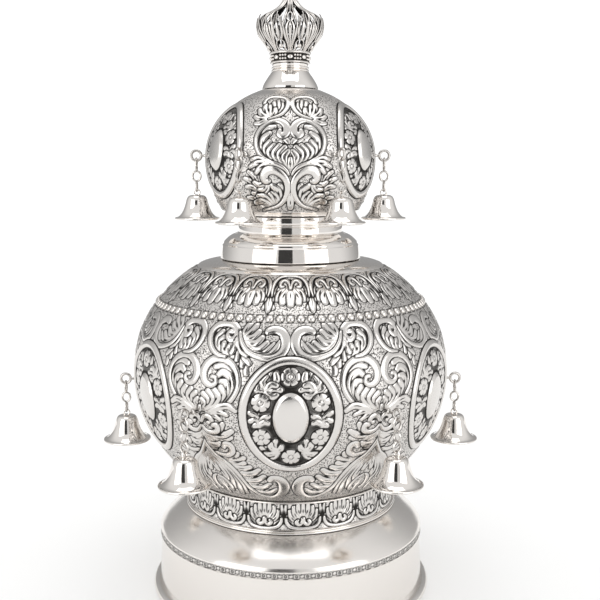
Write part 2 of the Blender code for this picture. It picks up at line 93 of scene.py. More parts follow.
def math_node(tree, operation, first, second=None, third=None):
    """One sum of a node tree; each term is a number or an output socket."""
    node = tree.nodes.new("ShaderNodeMath")
    node.operation = operation
    for socket, term in zip(node.inputs, (first, second, third)):
        if term is None:
            continue
        if isinstance(term, (int, float)):
            socket.default_value = term
        else:
            tree.links.new(term, socket)
    return node.outputs[0]


def ramp_between(tree, value, low, high, first=0.0, last=1.0):
    """A smooth step from a first to a last level as the value goes from low to high."""
    node = tree.nodes.new("ShaderNodeMapRange")
    node.interpolation_type = "SMOOTHSTEP"
    tree.links.new(value, node.inputs["Value"])
    for label, level in (("From Min", low), ("From Max", high), ("To Min", first),
                         ("To Max", last)):
        node.inputs[label].default_value = level
    return node.outputs["Result"]


def texture(tree, kind, place, scale, **settings):
    """A procedural texture at a scale in cells to the metre."""
    node = tree.nodes.new(kind)
    tree.links.new(place, node.inputs["Vector"])
    node.inputs["Scale"].default_value = scale
    for key, value in settings.items():
        node.inputs[key].default_value = value
    return node


print("helpers ready")

# %% Group for the hand polish
COLOUR, FLOAT, VECTOR = "NodeSocketColor", "NodeSocketFloat", "NodeSocketVector"
polish, polish_in, polish_out = node_group(
    "hand_polish",
    [("Place", VECTOR, None), ("Least Roughness", FLOAT, 0.05), ("Smudge", FLOAT, 0.06)],
    [("Roughness", FLOAT), ("Height", FLOAT)],
)
cloud = texture(polish, "ShaderNodeTexNoise", polish_in.outputs["Place"], 38.0, Detail=3.0)
wave = texture(polish, "ShaderNodeTexNoise", polish_in.outputs["Place"], 70.0, Detail=1.0)
fine = texture(polish, "ShaderNodeTexNoise", polish_in.outputs["Place"], 900.0, Detail=2.0)
smudge = math_node(polish, "MULTIPLY", ramp_between(polish, cloud.outputs["Fac"], 0.42, 0.7),
                   polish_in.outputs["Smudge"])
roughness = math_node(polish, "ADD", smudge, polish_in.outputs["Least Roughness"])
ripple = math_node(polish, "MULTIPLY_ADD", fine.outputs["Fac"], 0.02, wave.outputs["Fac"])
polish.links.new(roughness, polish_out.inputs["Roughness"])
polish.links.new(ripple, polish_out.inputs["Height"])
print("hand_polish:", len(polish.nodes), "nodes")

# %% Group for the patina in the chasing, which the casting also uses for painted shade
patina_and_shade, patina_and_shade_in, patina_and_shade_out = node_group(
    "patina_and_shade",
    [("Place", VECTOR, None), ("Silver", COLOUR, (0.9, 0.89, 0.87, 1)),
     ("Black", COLOUR, (0.03, 0.028, 0.026, 1)), ("Lines", FLOAT, 0.0), ("Ground", FLOAT, 0.0),
     ("Deep", FLOAT, 0.0), ("Ground Tone", FLOAT, 0.5)],
    [("Color", COLOUR), ("Roughness", FLOAT), ("Height", FLOAT)],
)
punch = texture(patina_and_shade, "ShaderNodeTexVoronoi", patina_and_shade_in.outputs["Place"], 980.0)
tarnish = texture(patina_and_shade, "ShaderNodeTexNoise", patina_and_shade_in.outputs["Place"], 55.0, Detail=4.0)
dots = ramp_between(patina_and_shade, punch.outputs["Distance"], 0.5, 0.28)
uneven = math_node(patina_and_shade, "MULTIPLY_ADD", tarnish.outputs["Fac"], 0.9, 0.55)
stipple = math_node(patina_and_shade, "MULTIPLY", dots, patina_and_shade_in.outputs["Ground"])
ground_dark = math_node(patina_and_shade, "MULTIPLY", stipple, patina_and_shade_in.outputs["Ground Tone"])
ground_dark = math_node(patina_and_shade, "MULTIPLY", ground_dark, uneven)
deep_dark = math_node(patina_and_shade, "MULTIPLY", patina_and_shade_in.outputs["Deep"], uneven)
line_dark = ramp_between(patina_and_shade, patina_and_shade_in.outputs["Lines"], 0.36, 0.62)
dark = math_node(patina_and_shade, "MAXIMUM", line_dark, ground_dark)
dark = math_node(patina_and_shade, "MAXIMUM", dark, deep_dark)
dark = math_node(patina_and_shade, "MINIMUM", dark, 1.0)
blend = patina_and_shade.nodes.new("ShaderNodeMix")
blend.data_type = "RGBA"
patina_and_shade.links.new(dark, blend.inputs["Factor"])
patina_and_shade.links.new(patina_and_shade_in.outputs["Silver"], blend.inputs[6])
patina_and_shade.links.new(patina_and_shade_in.outputs["Black"], blend.inputs[7])
rough = math_node(patina_and_shade, "MULTIPLY_ADD", dark, 0.3, 0.2)
rough = math_node(patina_and_shade, "MULTIPLY_ADD", patina_and_shade_in.outputs["Ground"], 0.16, rough)
dent = math_node(patina_and_shade, "MULTIPLY", stipple, -1.0)
patina_and_shade.links.new(blend.outputs[2], patina_and_shade_out.inputs["Color"])
patina_and_shade.links.new(rough, patina_and_shade_out.inputs["Roughness"])
patina_and_shade.links.new(dent, patina_and_shade_out.inputs["Height"])
print("patina:", len(patina_and_shade.nodes), "nodes")


# %% Polished silver
def new_silver(name):
    """A metal material, with its tree and its shader."""
    material = bpy.data.materials.new(name)
    material.use_nodes = True
    shader = material.node_tree.nodes["Principled BSDF"]
    shader.inputs["Metallic"].default_value = 1.0
    return material, material.node_tree, shader


def add_finish(tree, shader, group, strength, depth):
    """A finish in the object's own coordinates, joined to the shader's roughness and bump."""
    finish = tree.nodes.new("ShaderNodeGroup")
    finish.node_tree = group
    place = tree.nodes.new("ShaderNodeTexCoord")
    tree.links.new(place.outputs["Object"], finish.inputs["Place"])
    bump = tree.nodes.new("ShaderNodeBump")
    bump.inputs["Strength"].default_value = strength
    bump.inputs["Distance"].default_value = depth * MM
    tree.links.new(finish.outputs["Roughness"], shader.inputs["Roughness"])
    tree.links.new(finish.outputs["Height"], bump.inputs["Height"])
    tree.links.new(bump.outputs["Normal"], shader.inputs["Normal"])
    return finish


def polished_silver(name, colour, least, smudged, wobble):
    """A polished metal whose reflections waver by some hundredths of a millimetre."""
    material, tree, shader = new_silver(name)
    shader.inputs["Base Color"].default_value = colour
    finish = add_finish(tree, shader, polish, 1.0, wobble)
    finish.inputs["Least Roughness"].default_value = least
    finish.inputs["Smudge"].default_value = smudged
    return material


SILVER = (0.86, 0.825, 0.79, 1.0)
mirror = polished_silver("mirror_silver", SILVER, 0.035, 0.05, 0.035)
worn = polished_silver("hand_worn_silver", (0.82, 0.785, 0.75, 1.0), 0.1, 0.1, 0.05)
satin = polished_silver("satin_silver", SILVER, 0.17, 0.05, 0.03)
wire_silver = polished_silver("wire_silver", (0.6, 0.575, 0.55, 1.0), 0.09, 0.1, 0.03)
print("made", mirror.name, worn.name, satin.name, wire_silver.name)


# %% Chased silver
PUNCH_BUMP, PUNCH_DEPTH = 0.7, 0.12


def chased_silver(name, silver, ground_tone, deep_tone):
    """Silver that reads the chasing's lines and ground from the mesh; on a casting the lines are
    painted shade.
    """
    material, tree, shader = new_silver(name)
    finish = add_finish(tree, shader, patina_and_shade, PUNCH_BUMP, PUNCH_DEPTH)
    finish.inputs["Silver"].default_value = silver
    finish.inputs["Ground Tone"].default_value = ground_tone
    marks = tree.nodes.new("ShaderNodeAttribute")
    marks.attribute_name = "chasing"
    parts = tree.nodes.new("ShaderNodeSeparateColor")
    tree.links.new(marks.outputs["Color"], parts.inputs["Color"])
    tree.links.new(parts.outputs["Red"], finish.inputs["Lines"])
    tree.links.new(parts.outputs["Green"], finish.inputs["Ground"])
    deep = math_node(tree, "MULTIPLY", parts.outputs["Blue"], deep_tone)
    tree.links.new(deep, finish.inputs["Deep"])
    tree.links.new(finish.outputs["Color"], shader.inputs["Base Color"])
    return material


chased = chased_silver("chased_silver", (0.72, 0.695, 0.67, 1.0), 0.85, 0.92)
# On the casting the lines channel holds painted shade, not chased lines
cast = chased_silver("cast_silver", (0.72, 0.69, 0.66, 1.0), 0.0, 0.0)
print("made", chased.name, "and", cast.name)

# %% [markdown]
# ## Turned pieces
# The plain parts were spun on a lathe, so a profile turned round the axis is the honest way to
# make them. The profile runs up the outside and back down the inside, which gives the sheet
# its thickness. Curved stretches go through a spline, so 192 steps round and many along it
# keep the reflections smooth.


# %% Curves and grids of faces
def smooth(points, steps=8):
    """A spline through every point; each point may carry a width as well."""
    p = np.array(points, float)
    p = np.vstack([2 * p[0] - p[1], p, 2 * p[-1] - p[-2]])
    t = np.linspace(0, 1, steps, endpoint=False)[:, None]
    runs = []
    for a, b, c, d in zip(p, p[1:], p[2:], p[3:]):
        runs.append(0.5 * (2 * b + (c - a) * t + (2 * a - 5 * b + 4 * c - d) * t**2
                           + (3 * b - a - 3 * c + d) * t**3))
    return np.vstack(runs + [p[-2:-1]])


def curve(points, steps=8):
    """The same spline as a plain list, for a profile."""
    return smooth(points, steps).tolist()


def arc(middle, radius, first, last, count):
    """Points on a circle in the profile plane, by angle in degrees."""
    return [(middle[0] + radius * math.cos(math.radians(a)),
             middle[1] + radius * math.sin(math.radians(a)))
            for a in np.linspace(first, last, count)]


def grid_faces(rows, columns, wrap_rows=True, wrap_columns=True):
    """Four-sided faces of a grid of points, which may close round either way."""
    i = np.arange(rows if wrap_rows else rows - 1)[:, None]
    k = np.arange(columns if wrap_columns else columns - 1)[None, :]
    j, m = (i + 1) % rows, (k + 1) % columns
    corners = [i * columns + k, j * columns + k, j * columns + m, i * columns + m]
    return np.stack(corners, -1).reshape(-1, 4).tolist()


print("curves ready")


# %% Turning helpers
SHARP_TURNED, SHARP_CAST = 32, 40


def turned_shape(profile, segments, axis="Z", closed=True):
    """Points and faces of a profile of (radius, height) points turned round an axis."""
    r, z = np.array(profile, float).T
    a = np.linspace(0, 2 * math.pi, segments, endpoint=False)[:, None]
    x, y, z = r * np.cos(a), r * np.sin(a), z + 0 * a
    points = np.stack((x, y, z) if axis == "Z" else (z, x, y), -1).reshape(-1, 3)
    return points, grid_faces(segments, len(r), True, closed)


def moved(shape, place):
    """A shape carried to its place by a matrix."""
    points, faces = shape
    matrix = np.array(place)
    return np.array(points) @ matrix[:3, :3].T + matrix[:3, 3], faces


def mesh_of(name, shapes, sharp=SHARP_TURNED):
    """One mesh of several shapes, with sharp edges above an angle in degrees."""
    points, faces, start = [], [], 0
    for shape_points, shape_faces in shapes:
        points.append(np.array(shape_points))
        faces += [tuple(v + start for v in face) for face in shape_faces]
        start += len(shape_points)
    mesh = bpy.data.meshes.new(name)
    mesh.from_pydata((np.vstack(points) * MM).tolist(), [], faces)
    mesh.validate()
    mesh.shade_smooth()
    if sharp:
        mesh.set_sharp_from_angle(angle=math.radians(sharp))
    return mesh


def finished(name, mesh, node, material):
    """Put a mesh in the scene as the piece that stands for a CAD node."""
    mesh.materials.append(material)
    piece = bpy.data.objects.new(name, mesh)
    bpy.context.scene.collection.objects.link(piece)
    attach(piece, "root")
    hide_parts(node)


def turned(name, profile, segments, node, material, closed=True):
    """A turned piece in the scene."""
    mesh = mesh_of(name, [turned_shape(profile, segments, closed=closed)])
    finished(name, mesh, node, material)
    print(name + ":", len(mesh.polygons), "faces")


print("turning helpers ready")

# %% [markdown]
# ### Skirt
# The skirt goes over the two staves of the scroll. It stands on a rolled rim, with a dark
# groove where the roll meets the upright wall. A narrow band of scrolls runs round the top of
# the wall, and a polished dome closes in to the foot of the great globe.

# %% Skirt
RIM_RADIUS, RIM_ROLL = 97.3, 3.2
BAND_FOOT, BAND_TOP, BAND_RADIUS = 40.2, 46.4, 94.9
DOME_TOP, DOME_RADIUS = 63.2, 75.4
skirt_profile = arc((RIM_RADIUS, RIM_ROLL), RIM_ROLL, -90, 112, 20)
skirt_profile += curve([(95.6, 7.3), (95.2, 18.0), (94.5, 30.0), (94.0, BAND_FOOT)], 6)
skirt_profile += [(94.9, 40.9), (94.9, 41.2), (94.5, 41.3), (94.5, 45.4), (94.9, 45.5)]
skirt_profile += curve([(BAND_RADIUS, BAND_TOP), (93.3, 48.9), (89.2, 53.2), (82.6, 58.7),
                        (77.4, 62.4), (DOME_RADIUS, DOME_TOP)])
skirt_profile += [(71.8, DOME_TOP), (71.8, 62.3)]
skirt_profile += curve([(76.9, 61.4), (82.0, 57.7), (88.5, 52.4), (92.4, 48.0), (93.1, 46.0)], 6)
skirt_profile += [(93.1, 40.2), (94.7, 7.4)]
turned("skirt", skirt_profile, 192, "base_skirt", satin)

# %% [markdown]
# ### Collar
# Above the great globe stand a plain upright band, a rounded shoulder and a neck of two bands
# with a groove between them. They are all mirror-bright, so only their profile shows.

# %% Collar
RING_WIRE = 0.75
collar_profile = [(48.4, 238.2), (49.1, 238.3), (49.35, 238.6), (49.3, 239.1), (48.6, 243.3),
                  (47.98, 247.2), (47.9, 247.6), (47.7, 247.9), (47.4, 248.1)]
collar_profile += curve([(47.2, 248.5), (46.3, 250.5), (42.4, 253.9), (37.6, 256.1)])
collar_profile += [(36.9, 256.4), (36.6, 256.8), (36.6, 257.2), (36.6, 260.6), (36.5, 261.0),
                   (36.0, 261.3)]
collar_profile += arc((35.9, 262.15), RING_WIRE, -80, 80, 7)
collar_profile += [(36.0, 263.0), (36.5, 263.3), (36.6, 263.7), (36.6, 267.4), (36.4, 267.8),
                   (36.0, 267.9)]
collar_profile += [(34.7, 267.9), (34.7, 255.5), (41.5, 253.0), (45.6, 249.8), (47.0, 247.0),
                   (48.4, 238.2)]
turned("collar", collar_profile, 192, "collar", mirror)

# %% [markdown]
# ### Top neck
# A small bell-shaped neck carries the crown, with two fine rings at its waist.

# %% Top neck
neck_profile = curve([(19.3, 354.4), (18.9, 356.3), (17.6, 359.0), (15.4, 362.4), (12.9, 365.9)])
neck_profile += arc((12.2, 366.7), RING_WIRE, -75, 75, 7) + [(11.9, 367.6)]
neck_profile += arc((12.2, 368.6), RING_WIRE, -75, 75, 7)
neck_profile += [(11.9, 369.6), (12.2, 370.2), (12.3, 371.0)]
neck_profile += [(10.8, 371.0), (10.8, 365.4), (14.4, 361.8), (16.9, 358.2), (18.4, 354.4)]
turned("top_neck", neck_profile, 128, "top_neck", mirror)

# %% [markdown]
# ## The chasing
# A chaser lays the sheet on pitch, punches the lines, pushes the leaves up from behind and
# mats the ground with a fine punch. A height map over the wall does the same here. A board is
# a flat plan of half a panel: strokes are painted on it one over another, as a chaser works
# from the back leaf to the front one, and each leaves its height, its dark outline and its
# bright face. The board is then mirrored, repeated round the wall and laid on as real relief.


# %% Wall of a chased piece
class Wall:
    """A turned wall as rows of radius, height and normal, evenly spaced along its profile."""

    def __init__(self, profile, rows):
        r, z = np.array(profile, float).T
        run = np.concatenate([[0], np.cumsum(np.hypot(np.diff(r), np.diff(z)))])
        self.arc = np.linspace(0, run[-1], rows)
        self.radius = np.interp(self.arc, run, r)
        self.height = np.interp(self.arc, run, z)
        self.outward = np.gradient(self.height, self.arc)
        self.upward = -np.gradient(self.radius, self.arc)


def globe_profile(radius, equator, rise, drop, low, high, count=600):
    """The side of a globe that is fuller below its equator than above it."""
    z = np.linspace(low, high, count)
    share = (z - equator) / np.where(z > equator, rise, drop)
    return np.stack([radius * np.sqrt(1 - share**2), z], -1)


GREAT_RADIUS, GREAT_EQUATOR, GREAT_FOOT, GREAT_SHOULDER = 110.5, 162.7, 84.6, 233.0
GREAT_RISE, GREAT_DROP = 87.6, 103.0
GREAT_ROWS, GREAT_COLUMNS = 242, 960
great_wall = Wall(globe_profile(GREAT_RADIUS, GREAT_EQUATOR, GREAT_RISE, GREAT_DROP, GREAT_FOOT,
                                GREAT_SHOULDER), GREAT_ROWS)
print("great wall: rows", GREAT_ROWS, "apart", round(float(great_wall.arc[1]), 2), "mm")


# %% Board
class Board:
    """A flat plan of chasing, twice as fine as the wall it will be laid on."""

    def __init__(self, wall, scale_radius, low, high, step=0.32):
        inside = (wall.height >= low) & (wall.height <= high)
        self.first = int(np.argmax(inside))
        rows = int(inside.sum())
        last = self.first + rows - 1
        self.rows = rows
        self.arc = np.linspace(wall.arc[self.first], wall.arc[last], 2 * rows - 1)
        self.height = np.interp(self.arc, wall.arc, wall.height)
        self.squeeze = np.interp(self.arc, wall.arc, wall.radius) / scale_radius
        self.step = step

    def open(self, width):
        """Clear the board for a half panel of a width in mm at the scale radius."""
        self.across = np.arange(-2.0, width + 2.0, self.step)
        shape = (len(self.arc), len(self.across))
        self.width = width
        self.relief = np.zeros(shape)
        self.lines = np.zeros(shape)
        self.ground = np.ones(shape)
        self.deep = np.zeros(shape)
        return self

    def window(self, spine, reach):
        """The part of the board near a spine, and its places along and up."""
        up = np.interp(spine[:, 1], self.height, self.arc)
        rows = np.where((self.arc > up.min() - reach) & (self.arc < up.max() + reach))[0]
        if len(rows) == 0:
            return None
        side = reach / self.squeeze[rows].min()
        columns = np.where((self.across > spine[:, 0].min() - side)
                           & (self.across < spine[:, 0].max() + side))[0]
        if len(columns) == 0:
            return None
        part = np.s_[rows[0]:rows[-1] + 1, columns[0]:columns[-1] + 1]
        return part, self.across[part[1]][None, :], self.arc[part[0]][:, None], up


def nearest(board, spine, reach):
    """Distance outside a stroke, its half width, distance to its spine, and share along it."""
    found = board.window(spine, reach)
    if found is None:
        return None
    part, x, s, up = found
    squeeze = board.squeeze[part[0]][:, None]
    outside = np.full((s.shape[0], x.shape[1]), 1e3)
    half, middle, along = outside * 0 + 1, outside.copy(), outside * 0
    steps = len(spine) - 1
    for i in range(steps):
        ax, ay = (x - spine[i, 0]) * squeeze, s - up[i]
        bx, by = (spine[i + 1, 0] - spine[i, 0]) * squeeze, up[i + 1] - up[i]
        t = np.clip((ax * bx + ay * by) / (bx * bx + by * by + 1e-9), 0, 1)
        distance = np.hypot(ax - t * bx, ay - t * by)
        width = spine[i, 2] + (spine[i + 1, 2] - spine[i, 2]) * t
        closer = distance - width < outside
        outside = np.where(closer, distance - width, outside)
        half = np.where(closer, width, half)
        middle = np.where(closer, distance, middle)
        along = np.where(closer, (i + t) / steps, along)
    return part, outside, half, middle, along


print("board ready")

# %% Strokes
# All in millimetres but the relief, which scales every stroke's rise
LINE_HALF, LINE_SLOPE, RELIEF = 0.4, 1.0, 0.62
LEAST_STROKE, LEAST_CUT, LINE_REACH = 0.05, 0.1, 1.5
GROOVE_DEPTH, SLIT_DEPTH = 0.2, 0.25


def soft(value, low, high):
    """A smooth step from 0 to 1."""
    t = np.clip((value - low) / (high - low), 0, 1)
    return t * t * (3 - 2 * t)


def inked(distance, half):
    """How far inside a dark line a place lies; 0.5 is on the line's edge.

    The mesh carries this slope instead of black and white, and the shader cuts it at 0.5, so
    that a line's edge is sharper than the mesh.
    """
    return np.clip(0.5 + (half - np.abs(distance)) / LINE_SLOPE, 0, 1)


def stroke(board, points, rise, vein=0.0, steps=8, line=LINE_HALF, fade=0.0):
    """A raised ribbon or leaf with a dark outline, and a dark slit if it has a vein.

    Fade thins the outline towards the stroke's start, where leaves grow together.
    """
    spine = smooth(points, steps)
    spine[:, 2] = np.maximum(spine[:, 2], LEAST_STROKE)
    found = nearest(board, spine, spine[:, 2].max() + LINE_REACH)
    if found is None:
        return
    part, outside, half, middle, along = found
    depth = np.clip(-outside / np.maximum(half, 0.4), 0, 1)
    dome = rise * RELIEF * np.sqrt(1 - (1 - depth) ** 2)
    thinned = line * (1 - 1.4 * fade * (1 - soft(along, 0.1, 0.6)))
    dark = inked(outside - 0.6 * line, thinned)
    dark = np.where((half < line) & (outside < 0), 0.5 * dark, dark)
    relief = np.where(outside < 0, dome, -GROOVE_DEPTH * soft(dark, 0.3, 0.8))
    if vein:
        run = np.sin(math.pi * np.clip((along - 0.22) / 0.62, 0, 1))
        slit = inked(middle, vein * (1.6 * run - 0.6))
        dark = np.where(outside < 0, np.maximum(dark, slit), dark)
        relief = relief - SLIT_DEPTH * soft(slit, 0.4, 0.8) * (outside < 0)
    keep = board.relief[part]
    touched = outside < line + LINE_SLOPE
    # Across its outline the new stroke takes over from what was there
    blend = 1 - soft(outside, line, 2.2 * line)
    board.relief[part] = np.where(touched, relief * blend + keep * (1 - blend), keep)
    old = board.lines[part] * (1 - blend)
    board.lines[part] = np.where(touched, np.maximum(dark, old), board.lines[part])
    open_ground = 1 - np.where(touched, 1 - soft(outside, 0.0, line), 0)
    board.ground[part] *= open_ground
    board.deep[part] *= open_ground


def cut(board, points, steps=6):
    """A dark line punched into what is already there; the width is its half width."""
    spine = smooth(points, steps)
    spine[:, 2] = np.maximum(spine[:, 2], LEAST_CUT)
    found = nearest(board, spine, spine[:, 2].max() + 1.2)
    if found is None:
        return
    part, outside = found[:2]
    mark = np.clip(0.5 - outside / LINE_SLOPE, 0, 1)
    board.lines[part] = np.maximum(board.lines[part], mark)
    board.relief[part] = board.relief[part] - GROOVE_DEPTH * soft(mark, 0.4, 0.8)


def disc(board, centre, radius, rise, line):
    """A raised round dot."""
    x, z = centre
    stroke(board, [(x - 0.01, z, radius), (x + 0.01, z, radius)], rise, 0.0, 1, line)


print("strokes ready")

# %% [markdown]
# ### Leaves, scrolls and flowers
# The motifs are few: a leaf lobe is a stroke that swells towards a round end and has a dark
# slit, a ribbon is a long stroke that ends in a snail, and a flower is a disc cut into petals.
# A plan is a table of such marks in the order in which they are chased. Each row names its
# tool, the tool's size and the points across and up, which for a stroke carry half widths too.


# %% Motifs
LEAF_ROOT, PETALS = 0.3, 6


def leaf(board, path, width, vein=0.42, rise=0.75):
    """One leaf lobe along a path, swelling from its narrow root towards its end."""
    points = []
    for i, (x, z) in enumerate(path):
        t = i / (len(path) - 1)
        swell = LEAF_ROOT + (1 - LEAF_ROOT) * math.sin(math.pi / 2 * min(1.0, t / 0.75))
        points.append((x, z, width * swell * (0.8 if t > 0.9 else 1.0)))
    stroke(board, points, rise, vein, fade=1.0)


def spray(board, points, width, vein=0.42, rise=0.75):
    """Lobes from one root to several tips, each bent to one side of its straight way."""
    (x0, z0), *tips = points
    for x1, z1, bend in tips:
        dx, dz = x1 - x0, z1 - z0
        leaf(board, [(x0, z0), (x0 + 0.3 * dx - bend * dz * 0.8, z0 + 0.3 * dz + bend * dx * 0.8),
                     (x0 + 0.7 * dx - bend * dz, z0 + 0.7 * dz + bend * dx), (x1, z1)],
             width, vein, rise)


def flower(board, centre, radius, turn):
    """A disc cut into petals round an eye."""
    x, z = centre
    disc(board, centre, radius, 0.9, 0.45)
    for i in range(PETALS):
        a = math.radians(turn + 360 * i / PETALS)
        cut(board, [(x + r * radius * math.sin(a), z + r * radius * math.cos(a), w)
                    for r, w in ((0.25, 0.12), (0.6, 0.22), (0.92, 0.55))], 3)
    disc(board, centre, 0.25 * radius, 1.1, 0.3)


def draw(board, plan, level):
    """Chase a plan's marks on a board; a plan's heights are counted from its level."""
    for tool, size, *points in plan:
        tool(board, [(x, z + level, *rest) for x, z, *rest in points], *np.atleast_1d(size))
    print("level", level, "dark share", round(float(board.lines.mean()), 3))


print("motifs ready")

# %% [markdown]
# ### Panel of the great globe
# Six hearts of scrolls stand between six medallions. Half a heart and half a medallion make
# the board; across runs from the heart's middle to the medallion's. The lowest leaves are
# drawn a little taller than they look, because the globe turns under there.

# %% Heart of the great globe
SECTOR = math.radians(30) * GREAT_RADIUS
LEAVES_TOP = 206.8
great_board = Board(great_wall, GREAT_RADIUS, GREAT_FOOT, LEAVES_TOP).open(SECTOR)
GREAT_HEART = (
    (leaf, 2.1, (5, 2.6), (17, 8.5), (24, 18), (23.4, 27), (17.5, 31.9), (10.6, 30.6)),
    (leaf, 2.2, (5, 3), (16, 9.2), (21.6, 18), (20.6, 25), (16, 27.8), (12.9, 25.8)),
    (leaf, 2.3, (4.5, 3), (14.5, 9.5), (18.9, 16.8), (18, 21.4), (14.6, 21.8)),
    (leaf, 2.4, (4.2, 3), (12, 8.8), (16.4, 14.4), (15, 18.6)),
    (leaf, 2.6, (3.4, 3), (9.2, 7.8), (12.8, 12.2), (10.6, 16.6)),
    (leaf, 2.5, (2.4, 3), (6.2, 7.4), (8.6, 11.2), (6.4, 15.4)),
    (leaf, 2.3, (1.6, 3), (3.4, 7), (5.2, 10.2), (2.8, 13.6)),
    (leaf, 1.7, (0.8, 3), (1.9, 5.6), (3.2, 7.8), (1.5, 10.2)),
    (leaf, 1.5, (0, 1.5), (0, 3.5), (0, 5.4)),
    (stroke, 1, (1.2, 0.6, 0.9), (6.5, 1.6, 1.3), (13.2, 4.2, 1.4), (19.4, 8.6, 1.45), (24, 14.6, 1.5),
     (26.2, 21.4, 1.6), (24.8, 28.6, 1.8), (20.4, 33.6, 2), (14.6, 35.8, 2.2), (8.8, 35, 2.4),
     (4.2, 31.4, 2.6), (2.5, 26.2, 2.6), (4.2, 21.2, 2.2), (8, 19.2, 1.7), (11.4, 21, 1.4),
     (11.2, 24.2, 1.2), (8.6, 24.6, 1.3)),
    (cut, 6, (5, 2.8, 0.12), (13, 5.6, 0.16), (19, 10.2, 0.18), (23.2, 16, 0.18), (25, 22, 0.16),
     (23.6, 28, 0.14), (19.6, 32.3, 0.1)),
    (cut, 3, (1.5, 37.2, 0.12), (3.6, 37.4, 0.45), (6.4, 37.2, 0.14)),
    (cut, 3, (0, 38.4, 0.12), (0, 40, 0.4), (0, 42, 0.12)),
    (cut, 3, (0, 36, 0.12), (0, 34.4, 0.35), (0, 32.6, 0.12)),
)
draw(great_board, GREAT_HEART, 150)

# %% Scrolls over the heart and over the medallion
SCROLLS = (
    (leaf, 1.9, (15.6, 7.6), (8.8, 11.2), (6, 17.4), (8, 23.2), (12.6, 24.4)),
    (leaf, 2, (15.8, 8), (10.8, 12.4), (8.8, 17.4), (11.2, 21.2)),
    (leaf, 2, (16, 8.2), (12.6, 11.8), (11.2, 15.6), (13.2, 18.2)),
    (leaf, 1.9, (16.6, 8.4), (14.6, 11), (14, 14.8)),
    (leaf, 1.7, (17.4, 8.6), (17.4, 11.2), (18.4, 14.2)),
    (stroke, 1, (16.6, 6.9, 0.8), (10.2, 8.2, 1.3), (5.6, 11.6, 1.6), (3, 16.4, 1.8), (3.3, 21.2, 2),
     (6.8, 24.6, 2.2), (12.4, 25.8, 2.2), (18, 25.2, 2.3), (21.8, 22.2, 2.3), (21.6, 18.6, 2),
     (18.2, 16.8, 1.7), (15.4, 18.8, 1.4), (16.6, 21.6, 1.3), (18.6, 21, 1.1)),
    (cut, 6, (12, 9.4, 0.1), (7.2, 12.8, 0.14), (4.9, 17.4, 0.16), (5.2, 21.4, 0.14), (8.4, 24, 0.1)),
    (spray, 1.9, (22.8, 18), (20.2, 9.6, 0.1), (24.2, 5.8, 0.12), (31, -2.4, 0.06), (28, 2.2, 0.1),
     (32.6, 3.8, -0.05), (30.4, 8.6, -0.1)),
    (spray, 2.1, (25.8, 17.8), (30.6, 26.6, 0.05), (34.8, 25.6, -0.08), (37, 22.2, -0.15),
     (39.4, 18.8, -0.22), (42.8, 15.8, -0.28), (47.6, 15, -0.3), (52.6, 17.4, -0.33)),
    (stroke, 1, (23.8, 21.5, 0.8), (26.2, 15.6, 1.2), (31, 10.6, 1.4), (38.2, 7.8, 1.6),
     (45.6, 7.2, 1.9), (51.2, 9.2, 2.3), (54.4, 13.2, 2.6), (54.8, 18, 2.8), (52, 22, 2.8),
     (47.8, 23.4, 2.5), (44, 22.8, 2.3), (42.9, 22, 1.9)),
    (cut, 6, (31.4, 13.4, 0.1), (38.4, 10.6, 0.16), (45.2, 10.2, 0.18), (50, 12.2, 0.14),
     (51.6, 15.6, 0.1)),
    (cut, 3, (45, 20, 0.12), (48, 20.4, 0.5), (52, 19.6, 0.15)),
)
draw(great_board, SCROLLS, 180)

